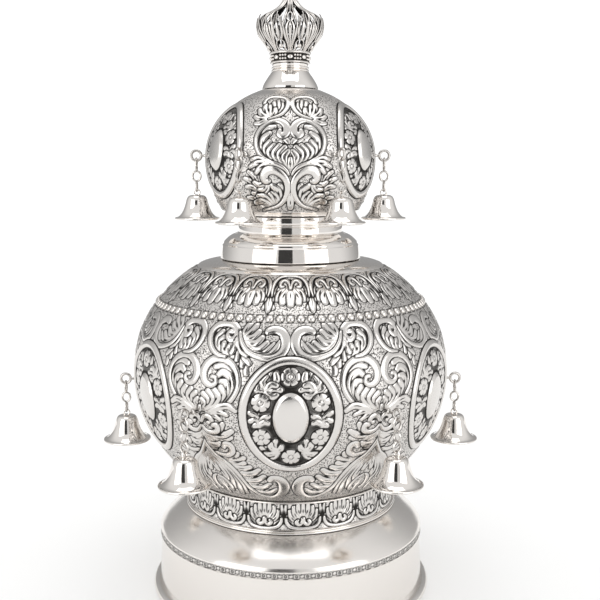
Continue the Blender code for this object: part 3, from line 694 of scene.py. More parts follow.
# %% Branch below the heart, and the stem that runs under the medallion
BRANCH = (
    (leaf, 1.6, (5, 61.6), (9.6, 60.4), (14.4, 57.4)),
    (leaf, 1.7, (6, 62.2), (12.6, 63), (18.6, 61.4)),
    (leaf, 2.1, (6, 62.8), (13, 65.8), (19.4, 67.2), (24.2, 64.8)),
    (spray, 2.2, (0.6, 47), (12, 44, -0.14), (19.8, 46.6, -0.1), (21, 51, -0.1), (15.2, 55, -0.14)),
    (spray, 2, (0.4, 41.6), (8.2, 38.4, -0.1), (11.6, 41.8, -0.14)),
    (spray, 2.2, (13, 29), (22.4, 35.6, -0.1), (26.4, 32.6, -0.1)),
    (spray, 2.2, (15.5, 26), (26, 28.8, -0.1), (29.6, 26, -0.1)),
    (spray, 2.2, (18.5, 20.825), (29.6, 22.13, -0.14), (35.6, 24.2, -0.12)),
    (spray, 2.2, (20.5, 15.025), (33.4, 17.2, -0.14), (38.4, 19.23, -0.12)),
    (spray, 2.2, (22.5, 10.675), (35.6, 11.4, -0.16), (41.4, 12.56, -0.14)),
    (spray, 2.2, (25, 6.325), (39.6, 6.18, -0.14), (46.4, 7.92, -0.14)),
    (stroke, 0.9, (0.6, 55.4, 0.9), (2.2, 58.6, 1.4), (5.4, 59.2, 1.6), (7.8, 57, 1.6),
     (6.8, 54.6, 1.3), (4.9, 55.2, 1.2)),
    (stroke, 0.9, (0.5, 52.6, 0.9), (3.4, 49.4, 1.3), (8, 48.8, 1.6), (11.4, 50.8, 1.8),
     (10.8, 53.8, 1.8), (8.4, 53.6, 1.6)),
    (stroke, 0.9, (2.5, 36.2, 0.9), (8.5, 34.2, 1.3), (15, 33.6, 1.6), (19.2, 36.4, 2),
     (18.8, 40.6, 2.2), (15.2, 41.6, 2), (13.6, 39.2, 1.6)),
    (stroke, 1, (-1, 44.5, 0.8), (0.4, 40, 1.3), (5.6, 32.6, 1.5), (12.6, 27.6, 1.6),
     (18.2, 20.68, 1.6), (23.2, 9.37, 1.7), (30.6, 1.83, 1.8), (40.6, -0.345, 2), (49, 2.7, 2.8),
     (52.6, 9.37, 3.5), (50.6, 15.75, 3.5), (45.6, 17.78, 3), (43, 16.04, 2.4)),
    (cut, 6, (26, 9.08, 0.1), (32, 3.57, 0.15), (40, 2.12, 0.18), (46.6, 5.02, 0.12)),
    (cut, 3, (44.6, 14.01, 0.1), (47, 14.59, 0.45), (49.2, 11.4, 0.15)),
)
draw(great_board, BRANCH, 90)

# %% Fan that hangs between two stems, under the post
FAN = (
    (leaf, 2, (2, 32), (11, 24), (18, 11.4), (19.4, 2.41)),
    (leaf, 2.1, (1, 31), (9, 23.5), (14.6, 11.4), (14.4, 1.25)),
    (leaf, 2.2, (1, 32), (7, 24.5), (11, 15.17), (9.6, 6.18)),
    (leaf, 2.2, (0.8, 31), (4.6, 24.6), (7.6, 17.2), (6.4, 11.4)),
    (leaf, 2, (0.4, 30), (1.9, 25.6), (3.4, 20.68)),
    (stroke, 0.9, (0.8, 16.33, 0.8), (4.6, 13.72, 1.3), (7.2, 8.5, 1.6), (5.8, 3.57, 1.6),
     (3, 4.44, 1.4)),
    (leaf, 2, (0, 11.4), (0, 5.6), (0, -0.2)),
)
draw(great_board, FAN, 90)

# %% [markdown]
# ### Medallion of the great globe
# A plain half-round frame, six flowers and leaves on a dark ground, and a polished oval.

# %% Medallion
MEDALLION_STEMS = (
    ((-16.2, 14.2, 0.6), (-12.5, 19.0, 0.6), (-7.8, 24.0, 0.6)),
    ((-18.9, -6.0, 0.6), (-18.9, -1.0, 0.6), (-18.9, 3.4, 0.6)),
    ((-14.6, -16.4, 0.6), (-11.0, -20.4, 0.6), (-7.2, -23.4, 0.6)),
)
MEDALLION_LEAVES = (
    ((-15.6, 15.6), (-17.6, 25.6, 0.15), (-20.4, 21.6, 0.3), (-16.0, 22.6, -0.25)),
    ((-13.4, 18.2), (-11.6, 29.6, 0.12), (-14.6, 25.6, 0.35), (-8.8, 27.4, -0.2)),
    ((-14.4, 16.4), (-5.8, 17.6, 0.18), (-8.4, 20.4, 0.3), (-8.2, 14.6, -0.25)),
    ((-18.9, -5.4), (-24.6, 3.0, -0.15), (-24.6, -2.4, -0.25), (-22.0, -5.4, -0.2),
     (-13.2, 1.2, 0.15), (-13.6, -3.4, 0.25)),
    ((-8.4, -22.6), (-19.4, -20.6, -0.15), (-15.0, -18.8, -0.1), (-13.2, -27.0, 0.15),
     (-16.6, -24.2, 0.1)),
    ((-9.6, -21.6), (-9.2, -14.8, 0.15), (-5.8, -18.6, -0.2), (-12.4, -17.0, 0.2)),
)
# Flowers by place, with the turn of their petals in degrees
MEDALLION_FLOWERS = ((-17.9, 9.6, 10), (-18.2, -12.8, 40), (0, 25.6, 0), (0, -26.2, 20))
MEDALLION_STEM_RISE = 0.6


def oval_share(board, centre, half):
    """How far out each place of the board lies, with 1 on the oval."""
    x = (board.across[None, :] - centre[0]) / half[0]
    z = (board.height[:, None] - centre[1]) / half[1]
    return np.hypot(x, z)


def medallion(board, centre, half, boss, spread):
    """Ground, frame, flowers, leaves and the domed oval."""
    cx, cz = centre
    kx, kz = spread

    def placed(points):
        return [(cx + x * kx, cz + z * kz, *rest) for x, z, *rest in points]

    inside = 1 - soft(oval_share(board, centre, (half[0] - 1.8, half[1] - 1.8)), 0.98, 1.02)
    board.relief = board.relief * (1 - inside) - 0.5 * inside
    board.lines *= 1 - inside
    board.ground = board.ground * (1 - inside) + inside
    board.deep = board.deep * (1 - inside) + inside
    for stem in MEDALLION_STEMS:
        stroke(board, placed(stem), MEDALLION_STEM_RISE)
    for leaves in MEDALLION_LEAVES:
        spray(board, placed(leaves), 1.9 * kx, 0.34, 0.9)
    for x, z, turn in placed(MEDALLION_FLOWERS):
        flower(board, (x, z), 5.7 * kx, turn)
    share = oval_share(board, centre, boss)
    rim = inked((share - 1.03) * boss[0], 0.6)
    board.lines = np.where(share < 1.0, rim, np.maximum(board.lines, rim))
    dome = 1.3 * soft((1 - share) * boss[0], 0.0, 2.2) + 0.5 * np.clip(1 - share**2, 0, 1)
    board.relief = np.where(share < 1, dome, board.relief)
    board.ground = np.where(share < 1.03, 0, board.ground)
    board.deep = np.where(share < 1.03, 0, board.deep)
    frame_line = [(cx + half[0] * math.sin(a), cz + half[1] * math.cos(a), 2.5)
                  for a in np.radians(np.linspace(-190, 10, 70))]
    stroke(board, frame_line, 2.2, 0.0, 2, 0.5)


medallion(great_board, (SECTOR, 151.0), (29.2, 35.0), (10.9, 16.4), (1.0, 1.0))
print("medallion: dark share", round(float(great_board.lines.mean()), 3))

# %% [markdown]
# ### Shoulder of the great globe
# Twenty palmettes hang from the plain ring over a row of beads, and lance leaves between them
# reach almost to the beads.

# %% Shoulder palmettes
PALMETTES = 20
PALMETTE_HALF = math.pi / PALMETTES * GREAT_RADIUS
shoulder_board = Board(great_wall, GREAT_RADIUS, LEAVES_TOP, GREAT_SHOULDER).open(PALMETTE_HALF)
SHOULDER_PALMETTE = (
    (leaf, 1.5, (16.6, 10.5), (15.2, 7.6), (13.4, 4.8)),
    (stroke, 0.8, (17.36, 18.6, 0.5), (17.36, 14, 1.2), (17.36, 9, 2), (17.36, 6.4, 2.2),
     (17.36, 3.4, 1.4)),
    (cut, 6, (17.36, 17.6, 0.2), (17.36, 12, 0.4), (17.36, 5.6, 0.25)),
    (leaf, (1.3, 0.45), (5, 17.6), (9.6, 17.2), (12.9, 14), (13.5, 9.2)),
    (leaf, (2, 0.45), (3.2, 16.6), (7.4, 14.8), (10, 12.2), (10.8, 9.4)),
    (leaf, (2.5, 0.45), (2, 16.2), (4.6, 13.4), (6.4, 10.6), (6.6, 7.8)),
    (leaf, (2.9, 0.4), (0, 16.4), (0, 12), (0, 7)),
    (stroke, 0.9, (-1, 22.6, 0.9), (6, 22.3, 1), (11.4, 21.4, 1.1), (15, 19, 1.2), (16.1, 15.2, 0.9),
     (15.6, 11, 0.4)),
    (stroke, 1, (0.4, 15.6, 0.9), (1.1, 18.2, 1.1), (3.6, 20, 1.3), (7.2, 20, 1.3), (9.4, 18.4, 1.2),
     (8.6, 16.6, 1.1), (6.4, 16.8, 1)),
    (cut, 6, (4.4, 21, 0.15), (9.4, 20.6, 0.35), (12.2, 19, 0.45), (12.8, 17, 0.15)),
    (cut, 3, (0, 21.4, 0.2), (0, 19.2, 0.55), (0, 16.8, 0.2)),
)


def seam_lines(board, heights):
    """Plain dark lines all the way round."""
    for z in heights:
        cut(board, [(-3, z, 0.12), (board.width + 3, z, 0.12)], 1)


draw(shoulder_board, SHOULDER_PALMETTE, 210)
seam_lines(shoulder_board, (233.6,))

# %% Bead seats
BEADS, BEAD_ROW = 92, 209.3
bead_board = Board(great_wall, GREAT_RADIUS, 206.6, 212.0).open(math.pi / BEADS * GREAT_RADIUS)
# The wall leans and narrows here, so a round seat is an oval on the board
SEAT_HALF, SEAT_STEEPNESS, SEAT_LINE = (3.15, 2.25), 2.5, 0.3
bead_seat = oval_share(bead_board, (0, BEAD_ROW), SEAT_HALF)
bead_board.lines = inked((bead_seat - 1) * SEAT_STEEPNESS, SEAT_LINE)
seam_lines(bead_board, (LEAVES_TOP, 211.8))
print("bead seats:", BEADS)


# %% Laying a board on a wall
def softened(values):
    """The mean of each place with its neighbours, which takes the pixels' edge off."""
    for axis in (0, 1):
        padded = np.pad(values, [(1, 1) if i == axis else (0, 0) for i in range(2)], "edge")
        low = np.take(padded, range(0, values.shape[axis]), axis)
        high = np.take(padded, range(2, values.shape[axis] + 2), axis)
        values = 0.5 * values + 0.25 * (low + high)
    return values


def lay(board, sheets, azimuths, panels):
    """Repeat the board's half panel, mirrored, round the wall's columns."""
    sector = 360 / panels / 2
    phase = np.mod(azimuths, 2 * sector)
    across = np.minimum(phase, 2 * sector - phase) / sector * board.width
    position = (across - board.across[0]) / board.step
    left = np.clip(position.astype(int), 0, len(board.across) - 2)
    share = position - left
    for sheet, values in zip(sheets, (board.relief, board.lines, board.ground, board.deep)):
        rows = softened(values)[::2]
        sheet[board.first:board.first + board.rows] = (
            rows[:, left] * (1 - share) + rows[:, left + 1] * share)


def mark_points(mesh, marks):
    """Store red lines (on a casting, painted shade), green ground and blue depth on a mesh for the
    silver to read.
    """
    colours = mesh.color_attributes.new("chasing", "FLOAT_COLOR", "POINT")
    colours.data.foreach_set("color", marks.astype(np.float32).ravel())


def chase(name, node, wall, columns, layers, parts=1):
    """Lift a wall by the relief of its boards, as upright strips that share their edges.

    A layer is a board, how often its panel goes round, and a warp of azimuths or None.
    """
    azimuths = np.linspace(-180, 180, columns, endpoint=False)
    sheets = np.zeros((4, len(wall.arc), columns))
    for board, panels, warp in layers:
        lay(board, sheets, np.interp(azimuths, *warp) if warp else azimuths, panels)
    relief, lines, ground, deep = sheets.transpose(0, 2, 1)
    a = np.radians(azimuths)[:, None]
    r = wall.radius + relief * wall.outward
    z = wall.height + relief * wall.upward
    places = np.stack([r * np.sin(a), -r * np.cos(a), z], -1) * MM
    round_wall = np.roll(places, -1, 0) - np.roll(places, 1, 0)
    normals = np.cross(round_wall, np.gradient(places, axis=1))
    normals /= np.linalg.norm(normals, axis=2, keepdims=True)
    marks = np.stack([lines, ground, deep, np.ones_like(lines)], -1)
    for part in range(parts):
        picked = np.arange(part * columns // parts, (part + 1) * columns // parts + 1) % columns
        label = name if parts == 1 else f"{name}_{part + 1}"
        mesh = bpy.data.meshes.new(label)
        mesh.from_pydata(places[picked].reshape(-1, 3).tolist(), [],
                         grid_faces(len(picked), len(wall.arc), False, False))
        mark_points(mesh, marks[picked])
        mesh.shade_smooth()
        mesh.normals_split_custom_set_from_vertices(normals[picked].reshape(-1, 3).tolist())
        finished(label, mesh, node, chased)
        print(label, len(mesh.polygons), "faces")


# %% Great globe
HEART_WARP = (
    [-180, -149.3, -120, -90, -60, -30.7, 0, 30.7, 60, 90, 120, 149.3, 180],
    [-150, -120, -90, -60, -30, 0, 30, 60, 90, 120, 150, 180, 210],
)
great_layers = ((great_board, 6, HEART_WARP), (shoulder_board, PALMETTES, None),
                (bead_board, BEADS, None))
chase("great_globe_chasing", "great_globe", great_wall, GREAT_COLUMNS, great_layers, 4)

# %% Ring and beads of the great globe
ring_profile = [(65.9, 232.8)] + curve([(65.7, 233.3), (63.4, 235.0), (58.0, 236.6),
                                        (49.6, 237.7), (45.2, 237.9)])
ring_profile += [(45.2, 237.0), (58.0, 235.7), (63.0, 233.8), (65.0, 232.6)]
turned("great_globe_ring", ring_profile, 192, "great_globe", worn)


def ball(radius, rings, segments, flatten=1.0):
    """Points and faces of a bead or a grain."""
    profile = [(radius * math.sin(math.pi * i / rings),
                -radius * flatten * math.cos(math.pi * i / rings)) for i in range(1, rings)]
    points, faces = turned_shape(profile, segments, closed=False)
    rows, foot = rings - 1, len(points)
    points = np.vstack([points, [(0, 0, -radius * flatten), (0, 0, radius * flatten)]])
    for i in range(segments):
        j = (i + 1) % segments
        faces.append((foot, j * rows, i * rows))
        faces.append((foot + 1, i * rows + rows - 1, j * rows + rows - 1))
    return points, faces


def seat(wall, azimuth, height, lift):
    """A matrix on a wall whose Z axis points straight out of it."""
    r, flare, climb = (float(np.interp(height, wall.height, values))
                       for values in (wall.radius, wall.outward, wall.upward))
    a = math.radians(azimuth)
    out, side = Vector((math.sin(a), -math.cos(a), 0)), Vector((math.cos(a), math.sin(a), 0))
    normal = out * flare + Vector((0, 0, climb))
    axes = Matrix((side, normal.cross(side), normal)).transposed().to_4x4()
    return Matrix.Translation(out * r + Vector((0, 0, height)) + normal * lift) @ axes


BEAD_RADIUS, BEAD_FLATTENING, BEAD_LIFT = 2.3, 0.5, 0.2
bead = ball(BEAD_RADIUS, 8, 14, BEAD_FLATTENING)
beads = [moved(bead, seat(great_wall, 360 * i / BEADS, BEAD_ROW, BEAD_LIFT))
         for i in range(BEADS)]
finished("great_globe_beads", mesh_of("great_globe_beads", beads, None), "great_globe",
         worn)
print("beads:", BEADS)

# %% [markdown]
# ## Small globe
# The small globe has three hearts of scrolls and three medallions, and its own scroll pairs
# above and below the hearts.

# %% Wall and heart of the small globe
SMALL_RADIUS, SMALL_EQUATOR, SMALL_FOOT, SMALL_SHOULDER = 57.9, 307.2, 272.0, 352.6
SMALL_RISE, SMALL_DROP = 49.5, 63.0
SMALL_ROWS, SMALL_COLUMNS = 144, 576
SMALL_SECTOR = math.radians(60) * SMALL_RADIUS
small_wall = Wall(globe_profile(SMALL_RADIUS, SMALL_EQUATOR, SMALL_RISE, SMALL_DROP, SMALL_FOOT,
                                SMALL_SHOULDER), SMALL_ROWS)
small_board = Board(small_wall, SMALL_RADIUS, SMALL_FOOT, SMALL_SHOULDER).open(SMALL_SECTOR)
SMALL_HEART = (
    (leaf, 1.9, (6, 2.8), (15.5, 7.6), (20.2, 14), (20.4, 20.4), (17, 25.4), (11, 26.6)),
    (leaf, 2.1, (6, 3), (14.6, 8.4), (18, 14.4), (17.6, 19.6), (14, 22.4)),
    (leaf, 2.2, (5.6, 3), (13, 8.2), (16, 13), (13.8, 17)),
    (leaf, 2.4, (5, 2.6), (11, 7.6), (13.2, 11), (10.8, 14.6)),
    (leaf, 2.4, (4, 2.2), (8.4, 6.6), (9.8, 10), (7, 14.4)),
    (leaf, 2.2, (3, 2), (5.8, 6), (6.6, 9.6), (3.6, 13.4)),
    (leaf, 1.9, (1.4, 2), (3.4, 5.4), (3.8, 8), (1.3, 11.2)),
    (leaf, 1.8, (10.6, 18.4), (7.4, 19), (4.8, 17.4)),
    (leaf, 1.9, (7.8, 18.6), (4.4, 19.6), (1.3, 17)),
    (leaf, 1.7, (0, 0.5), (0, 3), (0, 6.4)),
    (stroke, 1, (0.9, -3.8, 0.6), (2.7, -0.8, 0.9), (6.5, 2, 1.2), (12.7, 4.2, 1.4), (17.6, 7, 1.4),
     (21.2, 11.4, 1.5), (22.9, 16.8, 1.6), (22.6, 22, 1.6), (19.6, 27, 1.7), (15.2, 29.9, 1.8),
     (10.6, 31, 1.9), (6, 30, 2.1), (2.8, 27.2, 2.3), (2.3, 23.6, 2.4), (4.6, 21.2, 2.2),
     (7.4, 22, 1.8), (7.2, 24.4, 1.3)),
    (cut, 6, (8, 3.8, 0.12), (14, 6.2, 0.15), (19, 10.4, 0.16), (21.5, 16, 0.16), (21.1, 22, 0.14),
     (17.4, 26.8, 0.1)),
    (cut, 3, (1.6, 33.4, 0.1), (3.6, 33.5, 0.5), (6, 33.3, 0.1)),
    (cut, 3, (0, 34.6, 0.1), (0, 36.2, 0.45), (0, 38, 0.1)),
    (cut, 3, (0, 32.2, 0.1), (0, 30.8, 0.4), (0, 29.4, 0.1)),
)
draw(small_board, SMALL_HEART, 300)

# %% Scrolls over and under the small heart
SMALL_UPPER = (
    (spray, 1.7, (16, 2.6), (7.6, 12.2, 0.3), (11.6, 14, 0.2), (15.4, 13.2, 0.1), (12.6, 8.6, 0.25),
     (18.4, 10.8, 0), (22.8, 12, -0.1), (26.6, 8.4, -0.1), (28, 3.6, -0.1), (26, -1, -0.1)),
    (stroke, 0.95, (16.2, 1.8, 0.7), (8.4, 4, 1.2), (4, 7.2, 1.4), (1.9, 11.4, 1.6), (2.8, 14.6, 1.6),
     (7, 16.2, 1.5), (14, 16.8, 1.5), (21, 16.6, 1.5), (25, 14.8, 1.5), (24.6, 12.4, 1.3)),
)
draw(small_board, SMALL_UPPER, 330)
SMALL_LOWER = (
    (spray, 1.6, (21, 5), (27, 14.6, 0.2), (31.6, 11.6, 0.15), (34.2, 7.4, 0.1)),
    (spray, 1.6, (22, 16), (28.6, 28.2, 0.15), (32, 24, 0.1), (31.4, 18.6, 0.1)),
    (spray, 2.2, (9, 6.6), (7.2, 19.4, 0.25), (12.2, 19.2, 0.22), (14.6, 14.6, 0.2)),
    (spray, 2.2, (13.4, 5.2), (18.4, 14.8, 0.2), (23, 12.6, 0.18), (26, 8.4, 0.15)),
    (spray, 1.7, (15.4, 22.6), (17.2, 15.6, -0.1), (21.8, 16.8, -0.2), (24.8, 21.4, -0.2)),
    (spray, 1.7, (13, 33.6), (25.6, 36, 0.1), (27, 31.4, 0.1), (22.8, 27.6, 0.1)),
    (stroke, 1.1, (21, 3.6, 0.8), (11.2, 5.6, 1.1), (5.8, 8.6, 1.4), (2.7, 13.2, 1.7), (1.9, 18.4, 1.8),
     (3, 23.2, 2), (6.6, 27.2, 2.3), (11, 29.2, 2.6), (15.4, 28.6, 2.9), (17.6, 25.6, 2.7),
     (16.8, 22.6, 2.3), (14.6, 22.4, 1.7)),
    (cut, 6, (9.4, 8.8, 0.1), (6, 12.6, 0.16), (4.8, 18, 0.18), (6.4, 22.6, 0.16), (10, 25.2, 0.1)),
    (leaf, 2.4, (0, 13), (0, 8.6), (0, 5.2)),
)
draw(small_board, SMALL_LOWER, 270)

# %% Small medallion and plain edges
medallion(small_board, (SMALL_SECTOR, 312.5), (25.5, 29.8), (9.5, 13.8), (0.88, 0.83))
seam_lines(small_board, (348.8, 272.9))
small_board.ground *= 1 - soft(small_board.height, 348.6, 349.2)[:, None]
print("small board: dark share", round(float(small_board.lines.mean()), 3))

# %% Small globe pieces
chase("small_globe_chasing", "small_globe", small_wall, SMALL_COLUMNS, ((small_board, 3, None),))
foot_radius, top_radius = float(small_wall.radius[0]), float(small_wall.radius[-1])
under_profile = [(foot_radius + 0.1, 272.3)]
under_profile += curve([(foot_radius, 271.9), (44.6, 270.2), (40.0, 268.9), (36.4, 268.4),
                        (35.2, 268.2)], 6)
under_profile += [(34.8, 268.9), (39.0, 269.7), (44.6, 271.4), (foot_radius - 0.9, 272.6)]
turned("small_globe_underside", under_profile, 160, "small_globe", mirror)
cap_profile = [(top_radius, 352.4)]
cap_profile += curve([(top_radius - 0.1, 352.7), (20.6, 353.6), (19.0, 353.9), (16.6, 354.1)], 6)
cap_profile += [(16.6, 353.2), (20.2, 352.6), (top_radius - 0.6, 351.8)]
turned("small_globe_cap", cap_profile, 128, "small_globe", worn)

# %% [markdown]
# ## Foot band and skirt band
# Eighteen fans of lobes, each over a pair of curls, stand round the foot of the great globe.
# The chaser began a little off the front, so the gap between two fans is near the middle.

# %% Foot band
FOOT_RADIUS = 75.0
FOOT_PALMETTES, FOOT_COLUMNS, FOOT_PHASE = 18, 720, 6.3
foot_wall = Wall(smooth([(73.8, 65.8), (73.3, 69), (73.1, 74), (72.9, 79), (72.8, 83.2)], 30), 34)
foot_board = Board(foot_wall, FOOT_RADIUS, 65.0, 84.0).open(math.pi / FOOT_PALMETTES * FOOT_RADIUS)
FOOT_PALMETTE = (
    (leaf, (1, 0.38), (12.9, 6.2), (12.7, 12.5), (12.2, 18), (11.6, 22.2)),
    (leaf, (1.6, 0.38), (1.6, 8), (6.4, 9.2), (9.6, 11.6), (10.4, 14.8)),
    (leaf, (1.6, 0.38), (1.4, 9.4), (5, 11.4), (8, 14.4), (9, 18.4)),
    (leaf, (1.6, 0.38), (1.2, 11), (3.8, 13.8), (5.9, 17.2), (6.4, 21)),
    (leaf, (1.5, 0.38), (0.7, 12.6), (2.1, 16), (3.3, 19.4), (3.4, 22.6)),
    (leaf, (1.4, 0.38), (0, 13), (0, 18), (0, 23.2)),
    (stroke, 0.7, (-1, 6.6, 0.9), (4, 6.7, 1), (8.6, 7.8, 1.1), (11, 10.4, 1.1), (11.6, 13.4, 0.8)),
    (stroke, 0.8, (0.5, 13.6, 0.8), (0.8, 10.6, 1.1), (2.8, 9.2, 1.2), (4.6, 10.6, 1.2),
     (3.6, 12.2, 0.9)),
    (cut, 6, (13.09, 23.6, 0.3), (13.09, 16, 0.3), (13.09, 8, 0.2)),
)
draw(foot_board, FOOT_PALMETTE, 60)
FOOT_WARP = ((-180, 180), (-180 - FOOT_PHASE, 180 - FOOT_PHASE))
foot_layer = (foot_board, FOOT_PALMETTES, FOOT_WARP)
chase("foot_band_chasing", "foot_band", foot_wall, FOOT_COLUMNS, (foot_layer,))
flange_profile = [(73.0, 66.3), (73.7, 66.0), (74.2, 65.7)] + arc((75.0, 65.1), 0.55, 150, -60, 7)
flange_profile += [(75.2, 64.4), (75.9, 64.2), (76.0, 63.9), (76.0, 63.5), (72.7, 63.5)]
turned("foot_band_flange", flange_profile, 192, "foot_band", worn)
rim_profile = [(71.8, 83.0), (72.9, 83.0)] + arc((72.7, 83.65), 0.62, -60, 90, 7) + [(71.8, 84.28)]
turned("foot_band_top", rim_profile, 192, "foot_band", worn)

# %% Narrow band of the skirt
NARROW_RADIUS, NARROW_COLUMNS, NARROW_REPEATS, NARROW_LINE = 94.6, 840, 84, 0.3
band_wall = Wall([(94.55, 41.2), (NARROW_RADIUS, 42.4), (NARROW_RADIUS, 44.4), (94.55, 45.6)], 9)
band_board = Board(band_wall, NARROW_RADIUS, 41.0, 45.7, 0.25)
band_board.open(math.pi / NARROW_REPEATS * NARROW_RADIUS)
disc(band_board, (0, 43.4), 1.15, 0.45, NARROW_LINE)
stroke(band_board, [(3.5, 42.0, 0.4), (2.2, 42.4, 0.5), (1.9, 43.8, 0.5), (3.0, 44.6, 0.45)], 0.4,
       line=NARROW_LINE)
chase("skirt_band_chasing", "base_skirt", band_wall, NARROW_COLUMNS,
      ((band_board, NARROW_REPEATS, None),))

# %% [markdown]
# ## Bells, chains and posts
# Each bell hangs from three links on an eye that a short post holds away from the globe. The
# shapes are turned or bent wire, so a lathe profile and tubes round closed paths make them.


# %% Wire ring
def wire_ring(height, half_width, half_height, wire, across, count, sides=8):
    """Points and faces of a closed ring of wire on edge, along the radius or across it."""
    flat = Vector((1, 0, 0) if across else (0, 1, 0))
    path = []
    for a in np.linspace(0, 2 * math.pi, count, endpoint=False):
        x, z = half_width * math.sin(a), height + half_height * math.cos(a)
        path.append(Vector((0, x, z) if across else (x, 0, z)))
    points = []
    for i, point in enumerate(path):
        along = (path[(i + 1) % count] - path[i - 1]).normalized()
        side = along.cross(flat)
        top = side.cross(along)
        for k in range(sides):
            b = 2 * math.pi * k / sides
            points.append(point + side * (wire * math.cos(b)) + top * (wire * math.sin(b)))
    return points, grid_faces(count, sides)


print("wire ring ready")

# %% Bell, chain and post shapes
EYE_RING, EYE_WIRE, LINK_WIRE = 3.5, 1.0, 0.6
GAP, LINK_OVERLAP, LINK_ASPECT = 0.3, 0.4, 3.2 / 8.2
BELL_LOOP, LOOP_SUNK = 2.0, 0.5
CHAIN_WIRE, BELL_BEAD = 0.75, 0.8
CHAIN_TOP = -EYE_RING + EYE_WIRE + LINK_WIRE + GAP
# A bell's outside and inside, as shares of its mouth's radius and of its height
BELL_OUTSIDE = ((0.45, 0.17), (0.52, 0.4), (0.61, 0.62), (0.72, 0.78), (0.84, 0.88),
                (0.925, 0.915))
BELL_INSIDE = ((0.80, 0.90), (0.65, 0.78), (0.54, 0.6), (0.46, 0.4), (0.39, 0.19), (0.3, 0.12))


def bell_shapes(mouth):
    """A cast bell with a flared lip, hollow, and its loop; its crown is at the origin."""
    h = 1.11 * mouth
    crown = [(0.05, 0.0), (0.2 * mouth, -0.25), (0.36 * mouth, -1.0)]
    profile = curve(crown + [(r * mouth, -z * h) for r, z in BELL_OUTSIDE], 5)
    profile += arc((mouth - BELL_BEAD, BELL_BEAD - h), BELL_BEAD, 110, -90, 8)
    profile += curve([(r * mouth, -z * h) for r, z in BELL_INSIDE] + [(0.05, -0.08 * h)], 4)
    loop = wire_ring(BELL_LOOP - LOOP_SUNK, BELL_LOOP, BELL_LOOP, LINK_WIRE, False, 20)
    return [turned_shape(profile, 40), loop]


def chain_shapes(heights):
    """Three links of wire, every other one turned across."""
    shapes = []
    top = CHAIN_TOP
    width = heights[-1] * LINK_ASPECT
    for i, tall in enumerate(heights):
        shapes.append(wire_ring(top - tall / 2, width - 0.05, tall / 2 - LINK_WIRE / 2,
                                CHAIN_WIRE, i % 2 == 0, 28))
        top = top - tall + LINK_OVERLAP
    return shapes


def chain_end(heights):
    """How far below the eye a bell's crown hangs."""
    length = sum(heights) - (len(heights) - 1) * LINK_OVERLAP
    return CHAIN_TOP - length + 2 * LINK_WIRE + GAP - 2 * BELL_LOOP + LOOP_SUNK


def post_shapes(reach):
    """A turned shank with a collar at the wall and an eye at the origin."""
    start = -reach + GAP
    profile = [(0.02, start), (1.7, start), (1.8, start + 0.5), (1.2, start + 1.1),
               (1.0, start + 2.2), (1.0, -EYE_RING - 0.6), (1.25, -EYE_RING + 0.1),
               (0.02, -EYE_RING)]
    eye = wire_ring(0, EYE_RING - 0.05, EYE_RING - 0.05, EYE_WIRE, False, 36, 10)
    return [turned_shape(profile, 20, "X"), eye]


print("bell, chain and post shapes ready")

# %% Hang the bells
# Each row: prefix, azimuths, radius and height of the eyes, reach of a post, heights of the
# links, and radius of a bell's mouth
HANGERS = (
    ("great", (33.5, 90, 146.5, 213.5, 270, 326.5), 118.93, 150.6, 9.2, (8.9, 7.4, 7.4), 17.0),
    ("small", (30, 90, 150, 210, 270, 330), 65.57, 309.3, 7.7, (9.3, 7.4, 7.4), 15.7),
)


def hang(prefix, azimuths, eye_radius, eye_height, reach, links, mouth):
    """A post, a chain and a bell at each azimuth."""
    kinds = (("post", post_shapes(reach), 0.0), ("chain", chain_shapes(links), 0.0),
             ("bell", bell_shapes(mouth), chain_end(links)))
    for number, azimuth in enumerate(azimuths, 1):
        a = math.radians(azimuth)
        for kind, shapes, drop in kinds:
            eye = (eye_radius * math.sin(a), -eye_radius * math.cos(a), eye_height + drop)
            place = Matrix.Translation(eye) @ Matrix.Rotation(a - math.pi / 2, 4, "Z")
            name = f"{prefix}_{kind}_{number}"
            mesh = mesh_of(name, [moved(shape, place) for shape in shapes], SHARP_CAST)
            finished(name + "_silver", mesh, name,
                     mirror if kind == "bell" else wire_silver)


for hanger in HANGERS:
    hang(*hanger)
print("bells hung:", sum(len(hanger[1]) for hanger in HANGERS))

# %% [markdown]
# ## Small crown
# The crown on top is an open casting: a jewelled circlet, eight palmette ribs that sweep up
# into a stem, and eight leaves between them whose tips bend out. Its parts are flattened wires
# and blades laid on the surface of the cage.

# %% Cage surface and circlet
# The circlet's band between these heights, behind the jewels, is painted black as shade
STRIP_LOW, STRIP_HIGH = 372.6, 377.6


def paint_shade(mesh, shares):
    """Mark painted shade on a casting, as how black each point is, in the channel that holds chased
    lines.
    """
    marks = np.zeros((len(mesh.vertices), 4))
    marks[:, 0] = shares
    marks[:, 3] = 1
    mark_points(mesh, marks)


cage_wall = Wall(smooth([(13.2, 379.2), (17.4, 385.0), (21.2, 391.0), (22.0, 395.0),
                         (20.8, 400.2), (17.2, 403.6), (12.6, 405.9), (9.2, 408.0),
                         (6.2, 410.6), (4.6, 413.0), (4.2, 414.0)], 20), 120)
circlet_profile = [(12.4, 371.3)] + arc((13.2, 372.0), 0.65, -60, 60, 6)
circlet_profile += [(13.1, 372.7), (13.1, 377.4)] + arc((13.55, 378.4), 0.85, -70, 90, 8)
circlet_profile += [(10.8, 379.4), (10.8, 371.3)]
circlet_mesh = mesh_of("small_crown_circlet", [turned_shape(circlet_profile, 128)])
heights = np.array([point.co.z for point in circlet_mesh.vertices]) / MM
